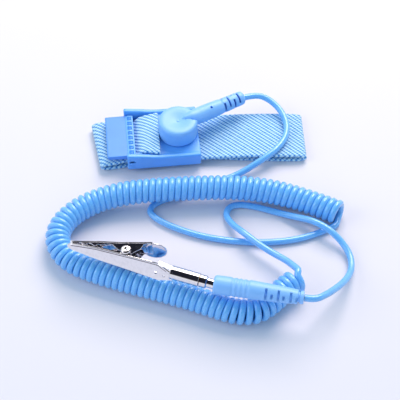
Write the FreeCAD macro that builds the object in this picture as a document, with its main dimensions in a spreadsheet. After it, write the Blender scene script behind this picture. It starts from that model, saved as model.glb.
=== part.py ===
import FreeCAD, Part
import math
import os

import Sketcher

# ESD wrist strap: an elastic band closed by a cam buckle, a snap head with the safety resistor,
# one curly cord, a banana plug and an alligator clip. Millimetres. The origin is on the floor
# under the axis of the snap stud, +X runs along the band, +Z is up.

SIZES = {
    # band
    "strap_width": 22.6,
    "strap_thick": 1.4,
    "strap_left": 33.2,
    "strap_right": 50.4,
    "strap_exit_level": 2.4,
    "strap_grip_level": 3.2,
    "tail_end": 8.4,
    "anchor_reach": 9.0,
    # buckle frame
    "frame_left": 21.0,
    "frame_right": 8.0,
    "frame_base": 2.0,
    "wall_thick": 1.2,
    "side_gap": 0.3,
    "hinge_wall_top": 10.0,
    "open_wall_top": 7.8,
    "deck_top": 7.0,
    "deck_thick": 1.5,
    "floor_thick": 1.1,
    # lever and its pin
    "pin_inset": 1.9,
    "pin_level": 6.5,
    "pin_radius": 0.7,
    "lever_play": 1.1,
    "lever_thick": 1.7,
    "lever_reach": 9.6,
    "drum_radius": 1.6,
    "tooth_radius": 1.75,
    "window_size": 1.3,
    "window_pitch": 2.45,
    "window_count": 8,
    "run_gap": 0.06,
    # skin plate and snap stud
    "plate_thick": 0.5,
    "plate_wide": 20.0,
    "plate_long": 17.0,
    "stud_flange_radius": 4.3,
    "stud_flange_thick": 0.6,
    "stud_neck_radius": 2.9,
    "stud_head_radius": 3.2,
    "stud_high": 3.4,
    "stud_shank_radius": 1.5,
    # snap head
    "snap_yaw": 25.1,
    "cap_radius": 7.7,
    "skirt_level": 7.3,
    "cap_base": 8.1,
    "cap_high": 6.9,
    "barrel_level": 11.3,
    "barrel_radius": 3.15,
    "barrel_taper": 0.2,
    "barrel_end": 20.8,
    "relief_end": 31.1,
    "relief_radius": 2.55,
    "slot_wide": 0.7,
    "slot_deep": 1.1,
    "slot_pitch": 2.25,
    "socket_radius": 4.6,
    "socket_wall": 0.35,
    "socket_high": 3.4,
    "ring_wire": 0.3,
    "resistor_radius": 1.15,
    "resistor_long": 6.0,
    "wire_radius": 0.3,
    "wire_tail": 1.5,
    "crimp_long": 2.2,
    "crimp_radius": 0.8,
    # cord
    "cord_radius": 1.25,
    "core_radius": 0.5,
    "coil_radius": 4.8,
    # plug
    "plug_level": 13.8,
    "sleeve_yaw": -15.9,
    "sleeve_radius": 3.45,
    "sleeve_long": 31.8,
    "relief_start": 17.4,
    "grip_pitch": 1.55,
    "grip_count": 5,
    "sleeve_tip_radius": 2.45,
    "rib_high": 0.2,
    "neck_radius": 2.3,
    "waist_radius": 1.8,
    "neck_long": 5.3,
    "neck_buried": 5.0,
    "pin_core_radius": 1.3,
    "plug_pin_long": 9.6,
    "spring_radius": 2.0,
    # alligator clip
    "clip_yaw": -24.5,
    "clip_long": 50.0,
    "clip_sheet": 0.5,
    "mouth_radius": 2.5,
    "mouth_long": 10.5,
    "web_offset": 1.1,
    "jaw_tip_half": 1.75,
    "jaw_root_half": 3.6,
    "rivet_back": 28.3,
    "rivet_side": 1.7,
    "rivet_radius": 1.0,
    "rivet_head_radius": 1.8,
    "upper_tilt": 12.9,
    "upper_web": 3.09,
    "tooth_pitch": 1.9,
    "tooth_high": 0.4,
    "tooth_count": 5,
    "pad_radius": 4.1,
    "pad_back": 11.3,
    "jaw_gap": 0.12,
    "coil_spring_radius": 2.0,
}

# Where the plug's sleeve begins, on the floor plan.
PLUG_MOUTH = (5.8, -76.6)

# The route of the lead from the snap head to the curly cord. The first point is the end of
# the strain relief, the last lies inside the last turn of the curly cord.
SNAP_LEAD_ROUTE = (
    (28.48, 13.34, 11.30),
    (33.5, 15.4, 10.7),
    (38.9, 12.9, 8.3),
    (42.9, 7.4, 6.5),
    (44.1, 0.2, 5.8),
    (41.9, -6.8, 5.7),
    (36.6, -12.4, 5.6),
    (30.2, -15.9, 4.4),
    (23.6, -18.5, 2.0),
    (15.5, -21.2, 1.3),
    (4.0, -24.6, 1.3),
    (-7.0, -27.9, 1.3),
    (-12.6, -30.2, 1.3),
    (-14.3, -33.5, 1.3),
    (-11.7, -37.3, 1.3),
    (-5.0, -42.2, 1.3),
    (4.6, -47.0, 1.3),
    (15.4, -50.3, 1.3),
    (27.0, -52.2, 1.3),
    (38.6, -52.3, 1.3),
    (48.4, -50.2, 1.3),
    (54.6, -47.8, 1.6),
    (57.4, -45.0, 3.0),
)

# The axis of the curly cord, from the snap lead's end to the plug lead's end. It is lifted
# where it lies across the snap lead.
COIL_ROUTE = (
    (57.2, -43.8, 4.85),
    (50.3, -39.5, 4.85),
    (41.2, -34.9, 5.3),
    (30.6, -31.3, 6.2),
    (19.0, -29.5, 7.2),
    (6.0, -28.8, 7.6),
    (-6.0, -28.3, 7.7),
    (-17.0, -28.0, 7.5),
    (-28.0, -28.3, 6.5),
    (-37.5, -30.6, 5.3),
    (-45.0, -35.4, 4.85),
    (-49.4, -42.4, 4.85),
    (-48.6, -50.0, 4.85),
    (-43.6, -56.4, 4.85),
    (-35.0, -61.2, 4.85),
    (-24.4, -66.2, 4.85),
    (-13.6, -70.7, 4.85),
    (-3.2, -75.2, 4.85),
    (6.0, -79.9, 4.85),
    (13.6, -83.6, 4.85),
    (20.8, -83.9, 4.85),
    (26.6, -80.0, 4.85),
    (31.4, -75.6, 4.85),
    (36.6, -72.4, 4.85),
)

# The route of the lead from the curly cord to the plug, over the snap lead twice.
PLUG_LEAD_ROUTE = (
    (35.6, -75.8, 5.2),
    (38.2, -73.2, 6.2),
    (37.9, -69.2, 6.2),
    (34.6, -64.6, 5.4),
    (29.9, -60.0, 5.1),
    (24.9, -55.2, 5.1),
    (19.9, -49.3, 5.1),
    (16.6, -43.6, 2.6),
    (14.6, -38.2, 1.3),
    (16.4, -34.2, 1.3),
    (21.0, -33.3, 1.3),
    (28.0, -35.7, 1.3),
    (35.6, -39.4, 1.5),
    (42.4, -43.6, 3.4),
    (47.2, -46.9, 5.1),
    (52.2, -51.2, 5.1),
    (56.4, -55.8, 3.0),
    (58.8, -61.6, 1.7),
    (58.0, -68.0, 2.4),
    (54.4, -74.2, 5.2),
    (49.4, -79.6, 8.8),
    (44.2, -84.2, 12.2),
    (40.1, -86.37, 13.6),
    (36.67, -85.39, 13.8),
)

DOC = FreeCAD.newDocument("EsdWristStrap")
SHEET = DOC.addObject("Spreadsheet::Sheet", "Sizes")
for row, (alias, number) in enumerate(SIZES.items(), start=1):
    SHEET.set(f"A{row}", alias)
    SHEET.set(f"B{row}", str(number))
    SHEET.setAlias(f"B{row}", alias)
DOC.recompute()

NODES = []


class Size:
    """A length that knows both its number and the sheet expression that gives it."""

    def __init__(self, value, text):
        self.value = value
        self.text = text

    def __add__(self, other):
        other = as_size(other)
        return Size(self.value + other.value, f"({self.text} + {other.text})")

    def __sub__(self, other):
        other = as_size(other)
        return Size(self.value - other.value, f"({self.text} - {other.text})")

    def __mul__(self, factor):
        factor = as_size(factor)
        return Size(self.value * factor.value, f"({self.text} * {factor.text})")

    def __truediv__(self, factor):
        factor = as_size(factor)
        return Size(self.value / factor.value, f"({self.text} / {factor.text})")

    def __radd__(self, other):
        return as_size(other) + self

    def __rsub__(self, other):
        return as_size(other) - self

    def __neg__(self):
        return Size(-self.value, f"(0 - {self.text})")


def as_size(item):
    if isinstance(item, Size):
        return item
    return Size(float(item), f"{float(item):.6f}")


def size(alias):
    return Size(SIZES[alias], f"Sizes.{alias}")


def bind(thing, prop, item):
    thing.setExpression(prop, as_size(item).text)


def place(thing, x=0, y=0, z=0, turn=None, angle=None, axis=(0, 0, 1)):
    """Puts a piece in the frame, with every coordinate bound to the sheet."""
    spots = [as_size(item) for item in (x, y, z)]
    rotation = turn or FreeCAD.Rotation()
    if angle is not None:
        rotation = FreeCAD.Rotation(FreeCAD.Vector(*axis), as_size(angle).value)
    thing.Placement = FreeCAD.Placement(FreeCAD.Vector(*[s.value for s in spots]), rotation)
    for letter, spot in zip("xyz", spots):
        bind(thing, f"Placement.Base.{letter}", spot)
    if angle is not None:
        bind(thing, "Placement.Rotation.Angle", angle)


def new_body(label):
    body = DOC.addObject("PartDesign::Body", label)
    body.Label = label
    NODES.append(body)
    return body


def new_sketch(body, role, name, shift=None):
    """An empty sketch on one of the body's own origin planes, moved along its normal."""
    sketch = body.newObject("Sketcher::SketchObject", name)
    plane = [item for item in body.Origin.OriginFeatures if item.Role == role][0]
    sketch.AttachmentSupport = [(plane, "")]
    sketch.MapMode = "FlatFace"
    if shift is not None:
        bind(sketch, "AttachmentOffset.Base.z", shift)
        sketch.AttachmentOffset = FreeCAD.Placement(
            FreeCAD.Vector(0, 0, as_size(shift).value), FreeCAD.Rotation()
        )
    return sketch


def draw_outline(sketch, points):
    """A closed polygon whose corners are bound to the sheet."""
    corners = [(as_size(x), as_size(y)) for x, y in points]
    vectors = [FreeCAD.Vector(x.value, y.value, 0) for x, y in corners]
    count = len(vectors)
    first = sketch.GeometryCount
    for index in range(count):
        sketch.addGeometry(Part.LineSegment(vectors[index], vectors[(index + 1) % count]), False)
    for index in range(count):
        edge = first + index
        after = first + (index + 1) % count
        sketch.addConstraint(Sketcher.Constraint("Coincident", edge, 2, after, 1))
        for kind, item in zip(("DistanceX", "DistanceY"), corners[index]):
            number = sketch.addConstraint(Sketcher.Constraint(kind, -1, 1, edge, 1, item.value))
            sketch.setExpression(f"Constraints[{number}]", item.text)


def draw_circle(sketch, x, y, radius):
    x, y, radius = as_size(x), as_size(y), as_size(radius)
    centre = FreeCAD.Vector(x.value, y.value, 0)
    circle = sketch.addGeometry(Part.Circle(centre, FreeCAD.Vector(0, 0, 1), radius.value), False)
    for kind, item in (("DistanceX", x), ("DistanceY", y)):
        number = sketch.addConstraint(Sketcher.Constraint(kind, -1, 1, circle, 3, item.value))
        sketch.setExpression(f"Constraints[{number}]", item.text)
    number = sketch.addConstraint(Sketcher.Constraint("Radius", circle, radius.value))
    sketch.setExpression(f"Constraints[{number}]", radius.text)


def pad(body, sketch, length, both_ways=True, reverse=False):
    feature = body.newObject("PartDesign::Pad", sketch.Name + "Pad")
    feature.Profile = sketch
    feature.Midplane = both_ways
    feature.Reversed = reverse
    feature.Length = as_size(length).value
    bind(feature, "Length", length)
    return feature


def pocket(body, sketch, length, both_ways=True, reverse=False):
    """Cuts a sketch out of the body, and checks that something was cut."""
    DOC.recompute()
    before = body.Shape.Volume
    feature = body.newObject("PartDesign::Pocket", sketch.Name + "Pocket")
    feature.Profile = sketch
    feature.Midplane = both_ways
    feature.Reversed = reverse
    feature.Length = as_size(length).value
    bind(feature, "Length", length)
    DOC.recompute()
    if not body.Shape.Volume < before - 1e-6:
        raise RuntimeError(f"{body.Label}: {sketch.Name} cuts nothing")
    return feature


def revolve(body, sketch, axis, cut=False):
    kind = "PartDesign::Groove" if cut else "PartDesign::Revolution"
    DOC.recompute()
    before = body.Shape.Volume if cut else 0
    feature = body.newObject(kind, sketch.Name + "Turn")
    feature.Profile = sketch
    feature.ReferenceAxis = (sketch, [axis])
    feature.Angle = 360
    DOC.recompute()
    if cut and not body.Shape.Volume < before - 1e-6:
        raise RuntimeError(f"{body.Label}: {sketch.Name} cuts nothing")
    return feature


def turned_piece(label, outline, along_x):
    """A turned piece: the outline is revolved about its own X axis, or about Z."""
    body = new_body(label)
    sketch = new_sketch(body, "XZ_Plane", label + "_profile")
    draw_outline(sketch, outline)
    revolve(body, sketch, "H_Axis" if along_x else "V_Axis")
    return body


def feature_piece(label, shape):
    piece = DOC.addObject("Part::Feature", label)
    piece.Label = label
    piece.Shape = shape
    NODES.append(piece)
    return piece


def cylinder_piece(label, radius, length):
    piece = DOC.addObject("Part::Cylinder", label)
    piece.Label = label
    bind(piece, "Radius", radius)
    bind(piece, "Height", length)
    NODES.append(piece)
    return piece


def rounded_path(points, share=0.45):
    """Straight runs joined by tangent arcs, each as large as its two runs allow."""
    points = [FreeCAD.Vector(*point) for point in points]
    edges = []
    radii = []
    start = points[0]
    for before, corner, after in zip(points, points[1:], points[2:]):
        incoming = (corner - before).normalize()
        outgoing = (after - corner).normalize()
        reach = share * min((corner - before).Length, (after - corner).Length)
        half_turn = incoming.getAngle(outgoing) / 2
        radius = reach / math.tan(half_turn)
        entry = corner - incoming * reach
        leave = corner + outgoing * reach
        inward = (outgoing - incoming).normalize()
        middle = corner + inward * (radius / math.cos(half_turn) - radius)
        edges.append(Part.LineSegment(start, entry).toShape())
        edges.append(Part.Arc(entry, middle, leave).toShape())
        radii.append(radius)
        start = leave
    edges.append(Part.LineSegment(start, points[-1]).toShape())
    return Part.Wire(edges), radii


def tube_along(label, points, radius):
    """A plain round tube on a rounded path, with its volume and radii checked."""
    path, radii = rounded_path(points)
    heading = FreeCAD.Vector(*points[1]) - FreeCAD.Vector(*points[0])
    ring = Part.Wire([Part.Circle(FreeCAD.Vector(*points[0]), heading, radius).toShape()])
    shape = path.makePipeShell([ring], True, False)
    ideal = math.pi * radius ** 2 * path.Length
    low, high = min(radii), max(radii)
    print(f"{label}: {path.Length:.1f} mm, radii {low:.1f} to {high:.1f} mm, "
          f"volume {shape.Volume / ideal:.4f} of section times length")
    print("   radii " + " ".join(f"{item:.1f}" for item in radii))
    return shape


def ribbon_outline(points, radii, thick):
    """The closed outline of a bent strip: corner points and bend radii of its middle line."""
    sides = ([], [])
    half = thick / 2
    steps = [(b - a).normalize() for a, b in zip(points, points[1:])]
    for side, sign in enumerate((1, -1)):
        across = FreeCAD.Vector(-steps[0].y, steps[0].x, 0) * (half * sign)
        sides[side].append(("line", points[0] + across))
    for corner, radius, step, following in zip(points[1:-1], radii, steps, steps[1:]):
        half_turn = step.getAngle(following) / 2
        reach = radius * math.tan(half_turn)
        turn_left = step.cross(following).z > 0
        inward = (following - step).normalize()
        centre = corner + inward * (radius / math.cos(half_turn))
        for side, sign in enumerate((1, -1)):
            span = radius - half * sign if turn_left else radius + half * sign
            normal_in = FreeCAD.Vector(-step.y, step.x, 0) * (half * sign)
            normal_out = FreeCAD.Vector(-following.y, following.x, 0) * (half * sign)
            sides[side].append(("line", corner - step * reach + normal_in))
            sides[side].append(("arc", centre - inward * span))
            sides[side].append(("line", corner + following * reach + normal_out))
    for side, sign in enumerate((1, -1)):
        across = FreeCAD.Vector(-steps[-1].y, steps[-1].x, 0) * (half * sign)
        sides[side].append(("line", points[-1] + across))
    chain = sides[0] + sides[1][::-1]
    chain.append(chain[0])
    curves = []
    index = 0
    while index + 1 < len(chain):
        here = chain[index][1]
        if chain[index + 1][0] == "arc":
            curves.append(Part.Arc(here, chain[index + 1][1], chain[index + 2][1]))
            index += 2
        else:
            curves.append(Part.LineSegment(here, chain[index + 1][1]))
            index += 1
    return curves


def strap_middle():
    """The band's middle line in the XZ plane, from its anchored end round to its tail."""
    half = SIZES["strap_thick"] / 2
    exit_level = SIZES["strap_exit_level"] + half
    grip_level = SIZES["strap_grip_level"] + half
    tail_level = SIZES["deck_top"] + 0.1 + half
    left = -SIZES["strap_left"]
    right = SIZES["strap_right"] - half
    hinge = -SIZES["frame_left"] + SIZES["pin_inset"]
    points = (
        (-SIZES["anchor_reach"], exit_level),
        (right, exit_level),
        (right, half),
        (left + half, half),
        (left + half, grip_level),
        (hinge + 1.2, grip_level),
        (hinge + 5.2, tail_level),
        (-SIZES["tail_end"], tail_level),
    )
    rise = (exit_level - half) / 2
    climb = (grip_level - half) / 2
    return [FreeCAD.Vector(x, z, 0) for x, z in points], (rise, rise, climb, climb, 1.2, 1.2)


def make_strap():
    """The elastic band: one bent strip, anchored under the deck, its tail on the deck."""
    body = new_body("strap_band")
    sketch = new_sketch(body, "XZ_Plane", "strap_section")
    points, radii = strap_middle()
    for curve in ribbon_outline(points, radii, SIZES["strap_thick"] * 0.999):
        sketch.addGeometry(curve, False)
    pad(body, sketch, size("strap_width"))
    hole = new_sketch(body, "XY_Plane", "strap_stud_hole")
    draw_circle(hole, 0, 0, size("stud_shank_radius") + size("run_gap"))
    level = size("strap_exit_level")
    bind(hole, "AttachmentOffset.Base.z", level - 0.2)
    pocket(body, hole, size("strap_thick") + 0.4, both_ways=False, reverse=True)


def channel_wide():
    """The room between the buckle's side walls: the band's width and a gap on each side."""
    return size("strap_width") + size("side_gap") * 2


def frame_wide():
    return channel_wide() + size("wall_thick") * 2


def lever_width():
    return channel_wide() - size("lever_play") * 2


def deck_slope():
    """Start and end of the ramp between the low floor and the deck, along X."""
    foot = size("pin_inset") - size("frame_left") + 2.5
    return foot, foot + 3.6


def make_frame():
    """The buckle frame: two wedge-shaped side walls with a floor, a ramp and a deck between."""
    body = new_body("buckle_frame")
    left, right = -size("frame_left"), size("frame_right")
    base = size("frame_base")
    outer = new_sketch(body, "XZ_Plane", "frame_side")
    draw_outline(outer, (
        (left, base),
        (right, base),
        (right, size("open_wall_top")),
        (right - 14.0, size("open_wall_top")),
        (left + 10.0, size("open_wall_top") + 0.4),
        (left + 5.0, size("hinge_wall_top") - 0.75),
        (left, size("hinge_wall_top")),
    ))
    pad(body, outer, frame_wide())
    foot, brow = deck_slope()
    floor_top = base + size("floor_thick")
    above = new_sketch(body, "XZ_Plane", "frame_channel")
    draw_outline(above, (
        (left - 1, floor_top),
        (foot, floor_top),
        (brow, size("deck_top")),
        (right + 1, size("deck_top")),
        (right + 1, size("hinge_wall_top") + 1),
        (left - 1, size("hinge_wall_top") + 1),
    ))
    pocket(body, above, channel_wide())
    below = new_sketch(body, "XZ_Plane", "frame_recess")
    draw_outline(below, (
        (foot + 1.4, base - 1),
        (foot + 1.4, base + 0.2),
        (brow + 0.6, size("deck_top") - size("deck_thick")),
        (right + 1, size("deck_top") - size("deck_thick")),
        (right + 1, base - 1),
    ))
    pocket(body, below, channel_wide())
    bore = new_sketch(body, "XZ_Plane", "frame_pin_hole")
    draw_circle(bore, left + size("pin_inset"), size("pin_level"), size("pin_radius") + size("run_gap"))
    pocket(body, bore, frame_wide() + 2)
    shank = new_sketch(body, "XY_Plane", "frame_stud_hole", size("deck_top") + 0.5)
    draw_circle(shank, 0, 0, size("stud_shank_radius") + size("run_gap"))
    pocket(body, shank, size("deck_thick") + 1, both_ways=False)


def make_lever():
    """The cam lever: a flat tongue, a round drum on the pin and a row of square windows."""
    body = new_body("cam_lever")
    section = new_sketch(body, "XZ_Plane", "lever_section")
    drum = size("drum_radius")
    low = -size("lever_thick") + 1.1
    draw_outline(section, (
        (-size("lever_reach"), low),
        (-drum, low),
        (-drum * 0.7, -drum * 0.72),
        (-0.3, -size("tooth_radius")),
        (0.3, -size("tooth_radius")),
        (drum * 0.72, -drum * 0.7),
        (drum, -0.35),
        (drum, 0.5),
        (drum * 0.75, 1.35),
        (-drum * 0.75, 1.35),
        (-drum * 0.8, low + size("lever_thick")),
        (-size("lever_reach"), low + size("lever_thick")),
    ))
    pad(body, section, lever_width())
    bore = new_sketch(body, "XZ_Plane", "lever_bore")
    draw_circle(bore, 0, 0, size("pin_radius") + size("run_gap"))
    pocket(body, bore, lever_width() + 2)
    window = new_sketch(body, "XY_Plane", "lever_window", size("drum_radius") + 0.6)
    half = size("window_size") / 2
    row_start = -size("window_pitch") * (size("window_count") - 1) / 2
    draw_outline(window, (
        (-half, row_start - half),
        (half, row_start - half),
        (half, row_start + half),
        (-half, row_start + half),
    ))
    cut = pocket(body, window, size("drum_radius") - 0.2, both_ways=False)
    row = body.newObject("PartDesign::LinearPattern", "lever_windows")
    row.Originals = [cut]
    row.Direction = (window, ["V_Axis"])
    row.Occurrences = int(SIZES["window_count"])
    bind(row, "Length", size("window_pitch") * (size("window_count") - 1))
    body.Tip = row
    place(body, size("pin_inset") - size("frame_left"), 0, size("pin_level"))


def make_lever_pin():
    length = frame_wide() - 0.4
    pin = cylinder_piece("lever_pin", size("pin_radius"), length)
    upright = FreeCAD.Rotation(FreeCAD.Vector(1, 0, 0), 90)
    place(pin, size("pin_inset") - size("frame_left"), length / 2, size("pin_level"), upright)


def plate_bottom():
    return size("strap_exit_level") - 0.15 - size("plate_thick")


def make_skin_plate():
    """The steel plate that touches the skin, with an open hole for the stud's shank."""
    body = new_body("skin_plate")
    sketch = new_sketch(body, "XY_Plane", "plate_outline", plate_bottom())
    half_long, half_wide = size("plate_long") / 2, size("plate_wide") / 2
    corner = 2.0
    draw_outline(sketch, (
        (-half_long + corner, -half_wide),
        (half_long - corner, -half_wide),
        (half_long, -half_wide + corner),
        (half_long, half_wide - corner),
        (half_long - corner, half_wide),
        (-half_long + corner, half_wide),
        (-half_long, half_wide - corner),
        (-half_long, -half_wide + corner),
    ))
    pad(body, sketch, size("plate_thick"), both_ways=False)
    hole = new_sketch(body, "XY_Plane", "plate_hole", plate_bottom() - 0.2)
    draw_circle(hole, 0, 0, size("stud_shank_radius") + 0.02)
    pocket(body, hole, size("plate_thick") + 0.4, both_ways=False, reverse=True)


def make_stud():
    """The male snap: a flange on the deck, a waisted head above, a riveted shank below."""
    deck = size("deck_top")
    flange_top = deck + size("stud_flange_thick") + 0.05
    head_top = deck + size("stud_high")
    shank, neck, head = size("stud_shank_radius"), size("stud_neck_radius"), size("stud_head_radius")
    turned_piece("snap_stud", (
        (0, plate_bottom()),
        (shank, plate_bottom()),
        (shank, deck + 0.05),
        (size("stud_flange_radius"), deck + 0.05),
        (size("stud_flange_radius"), flange_top),
        (neck, flange_top),
        (neck, head_top - 1.5),
        (head, head_top - 1.1),
        (head, head_top - 0.6),
        (head - 0.5, head_top),
        (0, head_top),
    ), along_x=False)


def make_anchor():
    """The moulded block that clamps the band's end up to the deck, and its washer."""
    deck_under = size("deck_top") - size("deck_thick")
    strap_top = size("strap_exit_level") + size("strap_thick")
    body = new_body("anchor_block")
    level = strap_top + 0.1
    sketch = new_sketch(body, "XY_Plane", "anchor_outline", level)
    half_wide = size("strap_width") / 2
    draw_outline(sketch, (
        (-size("anchor_reach") + 1, -half_wide),
        (size("frame_right") - 1, -half_wide),
        (size("frame_right") - 1, half_wide),
        (-size("anchor_reach") + 1, half_wide),
    ))
    pad(body, sketch, deck_under - level - 0.05, both_ways=False)
    hole = new_sketch(body, "XY_Plane", "anchor_hole", level - 0.2)
    draw_circle(hole, 0, 0, size("stud_shank_radius") + size("run_gap"))
    pocket(body, hole, size("deck_thick") + size("strap_thick") + 1, both_ways=False, reverse=True)


def cap_profile():
    """Half section of the snap head's cap: soft rim, dished top and a small centre nipple."""
    rim, base = size("cap_radius"), size("skirt_level")
    top = size("cap_base") + size("cap_high")
    return (
        (0, base),
        (rim - 0.5, base),
        (rim, base + 0.6),
        (rim, top - 1.4),
        (rim - 0.4, top - 0.4),
        (rim - 1.4, top),
        (rim - 2.6, top - 0.1),
        (2.4, top - 0.65),
        (0.5, top - 0.8),
        (0.3, top - 0.55),
        (0, top - 0.5),
    )


def make_snap_housing():
    """The moulded snap head: cap, barrel for the resistor and slotted strain relief."""
    body = new_body("snap_housing")
    cap = new_sketch(body, "XZ_Plane", "cap_section")
    draw_outline(cap, cap_profile())
    revolve(body, cap, "V_Axis")
    level = size("barrel_level")
    barrel = new_sketch(body, "XZ_Plane", "barrel_section")
    bind(barrel, "AttachmentOffset.Base.y", level)
    start, end = size("cap_radius") - 3.0, size("relief_end")
    draw_outline(barrel, (
        (start, 0),
        (start, size("barrel_radius")),
        (size("barrel_end") - 8.0, size("barrel_radius")),
        (size("barrel_end") - 0.6, size("barrel_radius") - size("barrel_taper")),
        (size("barrel_end"), size("relief_radius") + 0.1),
        (end - 0.8, size("relief_radius") - 0.1),
        (end, size("relief_radius") - 0.7),
        (end, 0),
    ))
    revolve(body, barrel, "H_Axis")
    socket = new_sketch(body, "XZ_Plane", "socket_room")
    room = size("socket_radius") + 0.05
    draw_outline(socket, (
        (0, size("skirt_level") - 1),
        (room, size("skirt_level") - 1),
        (room, size("cap_base") + size("socket_high")),
        (0, size("cap_base") + size("socket_high")),
    ))
    revolve(body, socket, "V_Axis", cut=True)
    room_x = size("socket_radius") - 0.5
    tunnel = new_sketch(body, "XZ_Plane", "resistor_room")
    bind(tunnel, "AttachmentOffset.Base.y", level)
    resistor_room = size("resistor_radius") + 0.1
    draw_outline(tunnel, (
        (room_x, 0),
        (room_x, resistor_room),
        (size("barrel_end") - 1, resistor_room),
        (size("barrel_end") - 1, size("core_radius") + 0.1),
        (end + 1, size("core_radius") + 0.1),
        (end + 1, 0),
    ))
    revolve(body, tunnel, "H_Axis", cut=True)
    for name, role, sign, first in (("front", "XY_Plane", -1, 0), ("back", "XY_Plane", 1, 0),
                                    ("under", "XZ_Plane", -1, 1), ("top", "XZ_Plane", 1, 1)):
        slots = new_sketch(body, role, f"relief_slots_{name}")
        bind(slots, "AttachmentOffset.Base.z" if first == 0 else "AttachmentOffset.Base.y", level)
        inner = (size("relief_radius") + 0.1 - size("slot_deep")) * sign
        outer = (size("relief_radius") + 1) * sign
        for number in (first, first + 2):
            from_x = size("barrel_end") + 0.55 + size("slot_pitch") * number
            draw_outline(slots, (
                (from_x, inner),
                (from_x + size("slot_wide"), inner),
                (from_x + size("slot_wide"), outer),
                (from_x, outer),
            ))
        pocket(body, slots, size("relief_radius") * 1.3)
    place(body, angle=size("snap_yaw"))


def make_snap_inside():
    """What the snap head holds: female socket, ring spring, resistor, its wires and a crimp."""
    base = size("cap_base")
    outer, wall = size("socket_radius"), size("socket_wall")
    top = base + size("socket_high") - 0.05
    ring_room = size("stud_head_radius") + 0.75
    turned_piece("snap_socket", (
        (size("stud_head_radius") + 0.15, base),
        (outer, base),
        (outer, top),
        (0, top),
        (0, top - wall),
        (ring_room, top - wall),
        (ring_room, base + wall),
        (size("stud_head_radius") + 0.15, base + wall),
    ), along_x=False)
    ring = DOC.addObject("Part::Torus", "snap_ring")
    ring.Label = "snap_ring"
    NODES.append(ring)
    bind(ring, "Radius1", size("stud_neck_radius") + 0.05 + size("ring_wire"))
    bind(ring, "Radius2", size("ring_wire"))
    place(ring, 0, 0, base + wall + size("ring_wire") + 0.05)
    level = size("barrel_level")
    turn = size("snap_yaw")
    angle = math.radians(SIZES["snap_yaw"])

    def along(piece, start):
        """Seats a piece that runs along X at a distance from the stud's axis, on the barrel."""
        place(piece, start * math.cos(angle), start * math.sin(angle), level, angle=turn)

    resistor_start = size("cap_radius") + 2.2
    half = size("resistor_radius")
    resistor = turned_piece("resistor_body", (
        (0, 0),
        (0, half),
        (1.4, half),
        (1.7, half - 0.2),
        (size("resistor_long") - 1.7, half - 0.2),
        (size("resistor_long") - 1.4, half),
        (size("resistor_long"), half),
        (size("resistor_long"), 0),
    ), along_x=True)
    along(resistor, resistor_start)
    wire_start = size("socket_radius") + 0.1
    wire = size("wire_radius")
    first = resistor_start - wire_start
    wire_in = turned_piece("resistor_wire_in", ((0, 0), (0, wire), (first, wire), (first, 0)), True)
    along(wire_in, wire_start)
    wire_out_start = resistor_start + size("resistor_long")
    tail = size("wire_tail")
    wire_out = turned_piece("resistor_wire_out", ((0, 0), (0, wire), (tail, wire), (tail, 0)), True)
    along(wire_out, wire_out_start)
    crimp_start = wire_out_start + tail
    sleeve, long = size("crimp_radius"), size("crimp_long")
    crimp = turned_piece("snap_crimp", ((0, 0), (0, sleeve), (long, sleeve), (long, 0)), True)
    along(crimp, crimp_start)
    core_start = crimp_start + long
    run = size("relief_end") - core_start
    core = size("core_radius")
    core_piece = turned_piece("snap_core", ((0, 0), (0, core), (run, core), (run, 0)), True)
    along(core_piece, core_start)


def on_clip_axis(piece, reach=0):
    """Places a piece on the axis of the clip and the plug's pin, reach mm past the mouth."""
    angle = math.radians(SIZES["clip_yaw"])
    step = as_size(reach) - size("neck_long")
    x = PLUG_MOUTH[0] + step * math.cos(angle)
    y = PLUG_MOUTH[1] + step * math.sin(angle)
    place(piece, x, y, size("plug_level"), angle=size("clip_yaw"))


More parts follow.
